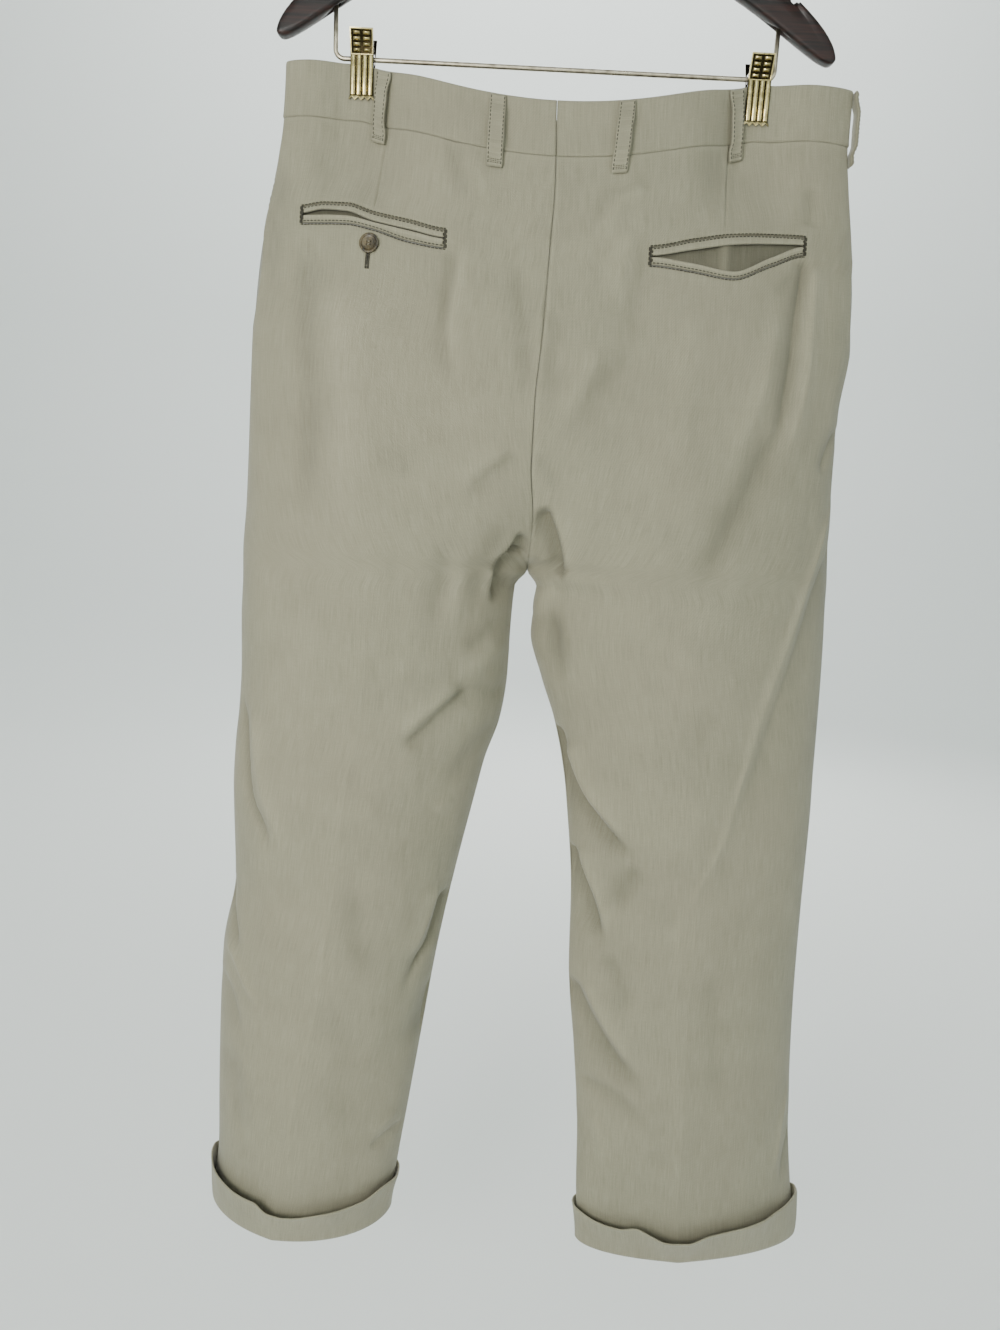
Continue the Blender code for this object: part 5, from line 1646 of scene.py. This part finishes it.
def pickCorners(item, test):
    bpy.ops.mesh.select_mode(type="VERT")
    bpy.ops.mesh.select_all(action="DESELECT")
    mesh = bmesh.from_edit_mesh(item.data)
    for corner in mesh.verts:
        if test(corner.co):
            corner.select_set(True)
    mesh.select_flush_mode()
    bmesh.update_edit_mesh(item.data)


def cutAt(item, axis, places):
    # straight cuts right through, across one axis
    for place in places:
        bpy.ops.mesh.select_mode(type="FACE")
        bpy.ops.mesh.select_all(action="SELECT")
        spot, way = [0.0, 0.0, 0.0], [0.0, 0.0, 0.0]
        spot[axis], way[axis] = place, 1.0
        bpy.ops.mesh.bisect(plane_co=spot, plane_no=way, use_fill=False)


clip = {
    "width": 18.5 * mm,
    "plate": 1.2 * mm,
    "grip": 4.3 * mm,       # from the middle to the leaf's inner face
    "open": 12 * mm,        # the same at the top
    "bar": -185.6 * mm,
    "top": {"left": -167 * mm, "right": -170 * mm},
    "bottom": {"left": -217 * mm, "right": -221 * mm},
    "blockLow": {"left": -184.4 * mm, "right": -187.6 * mm},
    "ribLow": {"left": -213.2 * mm, "right": -217.2 * mm},
    "ribs": 4,
    "rib": 3.7 * mm,
    "bumps": (2, 4),
    "frame": 1.5 * mm,
    "ear": {"back": (8.0, 9.2), "front": (6.5, 7.7)},
    "springWire": 0.55 * mm,
    "springRadius": 3.3 * mm,
    "springHalf": 4.2 * mm,
}


def addLeaf(half, face):
    # one stamped leaf: a framed block of bumps over the bar, ribs and a toothed jaw below it
    turn = sideSign[face]
    x, top, low = garment["clipX"][half], clip["top"][half], clip["bottom"][half]
    blockLow, ribLow = clip["blockLow"][half], clip["ribLow"][half]
    wide, outer = clip["width"] / 2, turn * (clip["grip"] + clip["plate"])
    deselectAll()
    bpy.ops.mesh.primitive_cube_add(size=1, location=(x, turn * (clip["grip"] + clip["plate"] / 2), (top + low) / 2),
                                    scale=(clip["width"], clip["plate"], top - low))
    bpy.ops.object.transform_apply(location=True, rotation=True, scale=True)
    item = bpy.context.object
    item.name = "clip%s%sLeaf" % (half.capitalize(), face.capitalize())
    bpy.ops.object.mode_set(mode="EDIT")
    cutAt(item, 2, (blockLow, clip["bar"], ribLow))
    # the block's frame stands round a sunk field
    pickFaces(item, lambda centre, normal: normal.y * turn > 0.9 and centre.z > blockLow)
    bpy.ops.mesh.dissolve_faces()
    bpy.ops.mesh.inset(thickness=1.0 * mm, depth=0)
    bpy.ops.mesh.inset(thickness=0.25 * mm, depth=-0.45 * mm)
    # the foot flares and is cut into teeth
    pitch = clip["width"] / clip["ribs"]
    middles = [x - wide + pitch * (k + 0.5) for k in range(clip["ribs"])]
    for place in middles + [m + pitch / 2 for m in middles[:-1]]:
        pickFaces(item, lambda centre, normal: centre.z < ribLow)
        bpy.ops.mesh.bisect(plane_co=(place, 0, 0), plane_no=(1, 0, 0), use_fill=False)
    pickCorners(item, lambda place: place.z < low + 0.1 * mm)
    bpy.ops.transform.translate(value=(0, turn * 0.9 * mm, 0))
    bpy.ops.transform.resize(value=(1.1, 1, 1), center_override=(x, 0, 0))
    pickCorners(item, lambda place: place.z < low + 0.1 * mm and any(abs(place.x - x - (m - x) * 1.1) < 0.1 * mm for m in middles))
    bpy.ops.transform.translate(value=(0, 0, 2.3 * mm))
    bpy.ops.object.mode_set(mode="OBJECT")
    parts = [item]
    for middle in middles:                      # pressed ribs, half sunk in the plate
        deselectAll()
        bpy.ops.mesh.primitive_cylinder_add(vertices=24, radius=clip["rib"] / 2, depth=blockLow - ribLow - 0.2 * mm,
                                            location=(middle, outer, (blockLow + ribLow) / 2), scale=(1, 0.62, 1))
        parts.append(bpy.context.object)
    across, down = clip["bumps"]
    cellWide, cellTall = (clip["width"] - 2 * clip["frame"]) / across, (top - blockLow - 2 * clip["frame"]) / down
    for i in range(across):                     # blunt pyramids in the field
        for j in range(down):
            deselectAll()
            place = (x - wide + clip["frame"] + (i + 0.5) * cellWide, outer + turn * 0.35 * mm, top - clip["frame"] - (j + 0.5) * cellTall)
            bpy.ops.mesh.primitive_cone_add(vertices=4, radius1=0.7071, radius2=0.16, depth=1, location=place,
                                            rotation=(-turn * math.pi / 2, 0, 0))
            bump = bpy.context.object
            bump.data.transform(Matrix.Rotation(math.pi / 4, 4, "Z"))
            bump.scale = (cellWide * 0.84, cellTall * 0.84, 1.9 * mm)
            parts.append(bump)
    inner, outerEar = clip["ear"][face]
    for side in (-1, 1):                        # ears round the bar
        deselectAll()
        bpy.ops.mesh.primitive_cylinder_add(vertices=28, radius=3.6 * mm, depth=(outerEar - inner) * mm, rotation=(0, math.pi / 2, 0),
                                            location=(x + side * (inner + outerEar) / 2 * mm, 0, clip["bar"]))
        ear = bpy.context.object
        bpy.ops.object.transform_apply(location=True, rotation=True, scale=True)
        pickFaces(ear, lambda centre, normal: normal.y * turn > 0.5)
        bpy.ops.mesh.extrude_region_move(TRANSFORM_OT_translate={"value": (0, turn * 1.9 * mm, 0)})
        bpy.ops.object.mode_set(mode="OBJECT")
        parts.append(ear)
    deselectAll()
    for part in parts:
        part.select_set(True)
    bpy.context.view_layer.objects.active = item
    bpy.ops.object.transform_apply(location=True, rotation=True, scale=True)
    bpy.ops.object.join()
    # above the bar the leaf leans out
    lean = (clip["open"] - clip["grip"]) / (top - clip["bar"])
    for corner in item.data.vertices:
        if corner.co.z > clip["bar"] and abs(corner.co.y) > clip["grip"] - 0.05 * mm:
            corner.co.y += turn * lean * (corner.co.z - clip["bar"])
    soft = item.modifiers.new("soft", "BEVEL")
    soft.width = 0.2 * mm
    soft.segments = 2
    soft.limit_method = "ANGLE"
    soft.angle_limit = math.radians(35)
    applyModifier(item, "soft")
    shade = []
    for corner in item.data.vertices:
        away = abs(corner.co.y) - clip["grip"] - clip["plate"] - lean * max(corner.co.z - clip["bar"], 0)
        base = -0.35 * mm if corner.co.z > blockLow else 0.08 * mm
        shade.append(min(max(1 - (away - base) / (0.3 * mm), 0), 1))
    layer = item.data.attributes.new("groove", "FLOAT", "POINT")
    layer.data.foreach_set("value", shade)
    item.data.materials.clear()
    item.data.materials.append(brassMaterial)
    pickOnly(item)
    bpy.ops.object.mode_set(mode="EDIT")
    bpy.ops.mesh.select_all(action="SELECT")
    bpy.ops.mesh.normals_make_consistent(inside=False)
    bpy.ops.object.mode_set(mode="OBJECT")
    bpy.ops.object.shade_smooth_by_angle(angle=math.radians(38))
    settle(item, "clip_%s_%s" % (half, face))


def addSpring(half):
    # a wire circle carried round the bar in a close coil
    x = garment["clipX"][half]
    deselectAll()
    bpy.ops.mesh.primitive_circle_add(vertices=10, radius=clip["springWire"],
                                      location=(x - clip["springHalf"] + clip["springWire"], 0, clip["bar"] + clip["springRadius"]))
    bpy.ops.object.transform_apply(location=True, rotation=True, scale=True)
    item = bpy.context.object
    item.name = "clip%sSpring" % half.capitalize()
    bpy.ops.object.mode_set(mode="EDIT")
    bpy.ops.mesh.select_all(action="SELECT")
    # the circle stands across the wire
    bpy.ops.transform.rotate(value=math.radians(90), orient_axis="X",
                             center_override=(x - clip["springHalf"] + clip["springWire"], 0, clip["bar"] + clip["springRadius"]))
    bpy.ops.object.mode_set(mode="OBJECT")
    for corner in item.data.vertices:
        corner.co.z -= clip["bar"]
    turns = int((clip["springHalf"] - clip["springWire"]) * 2 / (2.15 * clip["springWire"]))
    coil = item.modifiers.new("coil", "SCREW")
    coil.axis = "X"
    coil.angle = 2 * math.pi
    coil.screw_offset = 2.15 * clip["springWire"]
    coil.iterations = turns
    coil.steps = coil.render_steps = 22
    coil.use_merge_vertices = True
    coil.use_smooth_shade = True
    applyModifier(item, "coil")
    for corner in item.data.vertices:
        corner.co.z += clip["bar"]
    pickOnly(item)
    bpy.ops.object.mode_set(mode="EDIT")
    bpy.ops.mesh.select_all(action="SELECT")
    bpy.ops.mesh.remove_doubles(threshold=0.005 * mm)
    bpy.ops.mesh.select_all(action="SELECT")
    bpy.ops.mesh.fill_holes(sides=0)
    bpy.ops.mesh.select_all(action="SELECT")
    bpy.ops.mesh.normals_make_consistent(inside=False)
    bpy.ops.object.mode_set(mode="OBJECT")
    item.data.materials.append(wireMaterial)
    settle(item, "clip_%s_spring" % half)


buttonForm = {"thick": 3.0 * mm, "rim": 1.5 * mm, "dish": 0.75 * mm, "holeRadius": 0.72 * mm, "holeAway": 1.55 * mm}


def addButton(name, node, half, face, x, z, seat, radius, across):
    # turned horn disc with a raised rim, a dish and four holes, sewn with two bars of thread
    thick = buttonForm["thick"]
    deselectAll()
    bpy.ops.mesh.primitive_cylinder_add(vertices=56, radius=radius, depth=thick, location=(0, 0, thick / 2))
    bpy.ops.object.transform_apply(location=True, rotation=True, scale=True)
    item = bpy.context.object
    item.name = name
    pickFaces(item, lambda centre, normal: normal.z > 0.9)
    for thickness, depth in ((0.35 * mm, 0.0), (buttonForm["rim"] - 0.35 * mm, 0.12 * mm), (0.7 * mm, -buttonForm["dish"]), (1.6 * mm, -0.18 * mm)):
        bpy.ops.mesh.inset(thickness=thickness, depth=depth)
    pickFaces(item, lambda centre, normal: normal.z < -0.9)
    bpy.ops.mesh.inset(thickness=radius * 0.22, depth=-0.0 * mm)
    bpy.ops.object.mode_set(mode="OBJECT")
    for corner in item.data.vertices:          # the back is a shallow dome
        if corner.co.z < 0.01 * mm and math.hypot(corner.co.x, corner.co.y) > radius * 0.9:
            corner.co.z += 0.9 * mm
    soft = item.modifiers.new("soft", "BEVEL")
    soft.width = 0.28 * mm
    soft.segments = 3
    soft.limit_method = "ANGLE"
    soft.angle_limit = math.radians(20)
    applyModifier(item, "soft")
    holes = []
    for k in range(4):
        angle = math.pi / 4 + k * math.pi / 2
        deselectAll()
        place = (buttonForm["holeAway"] * math.cos(angle), buttonForm["holeAway"] * math.sin(angle), thick / 2)
        bpy.ops.mesh.primitive_cylinder_add(vertices=20, radius=buttonForm["holeRadius"], depth=thick * 3, location=place)
        holes.append(bpy.context.object)
    deselectAll()
    for drill in holes:
        drill.select_set(True)
    bpy.context.view_layer.objects.active = holes[0]
    bpy.ops.object.join()
    drill = bpy.context.object
    cutting = item.modifiers.new("holes", "BOOLEAN")
    cutting.operation = "DIFFERENCE"
    cutting.object = drill
    cutting.solver = "EXACT"
    applyModifier(item, "holes")
    bpy.data.objects.remove(drill)
    point, normal = onCloth(half, face, x, z, seat)
    up = Vector(normal)
    side = Vector((0, 0, 1)).cross(up).normalized()
    turned = Matrix((side, up.cross(side), up)).transposed().to_4x4()
    turned.translation = Vector(point)
    item.data.transform(turned)
    item.data.materials.append(hornMaterial)
    pickOnly(item)
    bpy.ops.object.shade_smooth_by_angle(angle=math.radians(35))
    settle(item, node)
    # two bars of thread over the holes, each of three strands
    rows = []
    away = buttonForm["holeAway"] * math.cos(math.pi / 4)
    level = thick - buttonForm["dish"] + 0.02 * mm
    for line in (-away, away):
        for strand in (-0.34, 0.0, 0.34):
            run = []
            for share in np.linspace(-1, 1, 9):
                height = level + 0.32 * mm * (1 - abs(share) ** 4)
                spot = (share * (away + 0.25 * mm), line + strand * mm, height)
                spot = spot if across else (spot[1], spot[0], spot[2])
                run.append(turned @ Vector(spot))
            rows.append((np.array(run), np.tile(np.array(up), (9, 1))))
    stitchRows(name + "Thread", rows, buttonThreadMaterial, radius=0.24 * mm, length=2 * away, gap=0.02 * mm, sunk=0.0)


def addButtonhole(name, half, face, start, end, out):
    # close stitches along both sides of a slit, and a bar at its far end, with a near-black rod of painted shadow along
    # the slit
    first, last = np.array(start) * mm, np.array(end) * mm
    way = unit(last - first)
    aside = np.array((-way[1], way[0]))
    length = float(np.linalg.norm(last - first))
    spots, bars = [], []
    for k in range(int(length / (0.62 * mm))):
        middle = first + way * (k + 0.5) * 0.62 * mm
        for side in (-1, 1):
            spots.append([middle + aside * side * reach * mm for reach in (0.35, 1.15, 1.95)])
    for k in range(4):
        spots.append([last + way * (0.5 * k) * mm + aside * reach * mm for reach in (-1.9, 0.0, 1.9)])
    spots = np.array(spots)
    place, normal = onCloth(half, face, spots[..., 0].ravel(), spots[..., 1].ravel(), np.full(spots[..., 0].size, out))
    rows = list(zip(place.reshape(-1, 3, 3), normal.reshape(-1, 3, 3)))
    stitchRows(name, rows, radius=0.27 * mm, length=1.5 * mm, gap=0.05 * mm, sunk=0.0)
    # painted shadow: a near-black rod along the slit stands in for the shade in the opening
    slit = np.array([first + way * length * share for share in np.linspace(0, 1, 12)])
    place, normal = onCloth(half, face, slit[:, 0], slit[:, 1], np.full(12, out - 0.1 * mm))
    stitchRows(name + "Slit", [(place, normal)], slitShadowMaterial, radius=0.36 * mm, length=length * 0.98, gap=0.1 * mm, sunk=0.0)


asMade("hangerArms", "hanger_wood", woodMaterial, 42, 1)
asMade("hangerHook", "hook", wireMaterial, 60)
asMade("hangerBar", "clip_bar", wireMaterial, 60)
for half in ("left", "right"):
    addLeaf(half, "back")
    addLeaf(half, "front")
    addSpring(half)
addButton("pocketButton", "back_pocket_button", "left", "back", -139 * mm, -330.5 * mm, -0.2 * mm, 7.8 * mm, True)
addButtonhole("pocketButtonhole", "left", "back", (-139.6, -334), (-140.2, -348), 0.35 * mm)
frontEdge = float(edgesAt("left", garment["waistSeam"])[1])
waistMiddle = (garment["waistTop"] + garment["waistSeam"]) / 2 - garment["sag"]
addButton("waistButton", "waist_button", "left", "front", frontEdge - 14 * mm, waistMiddle, 1.2 * mm, 8.5 * mm, False)
addButtonhole("waistButtonhole", "left", "front", (frontEdge / mm - 15, waistMiddle / mm), (frontEdge / mm - 3.5, waistMiddle / mm), 0.85 * mm)
print("hanger, clips and buttons made")

for name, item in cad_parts.items():
    item.data.materials.clear()
    if name == "hanger_wood":
        item.data.materials.append(woodMaterial)
    elif name.startswith("clip_bar") or name == "hook":
        item.data.materials.append(wireMaterial)
    elif name.startswith("clip"):
        item.data.materials.append(brassMaterial)
    elif "button" in name:
        item.data.materials.append(hornMaterial)
    else:
        item.data.materials.append(twillMaterial)
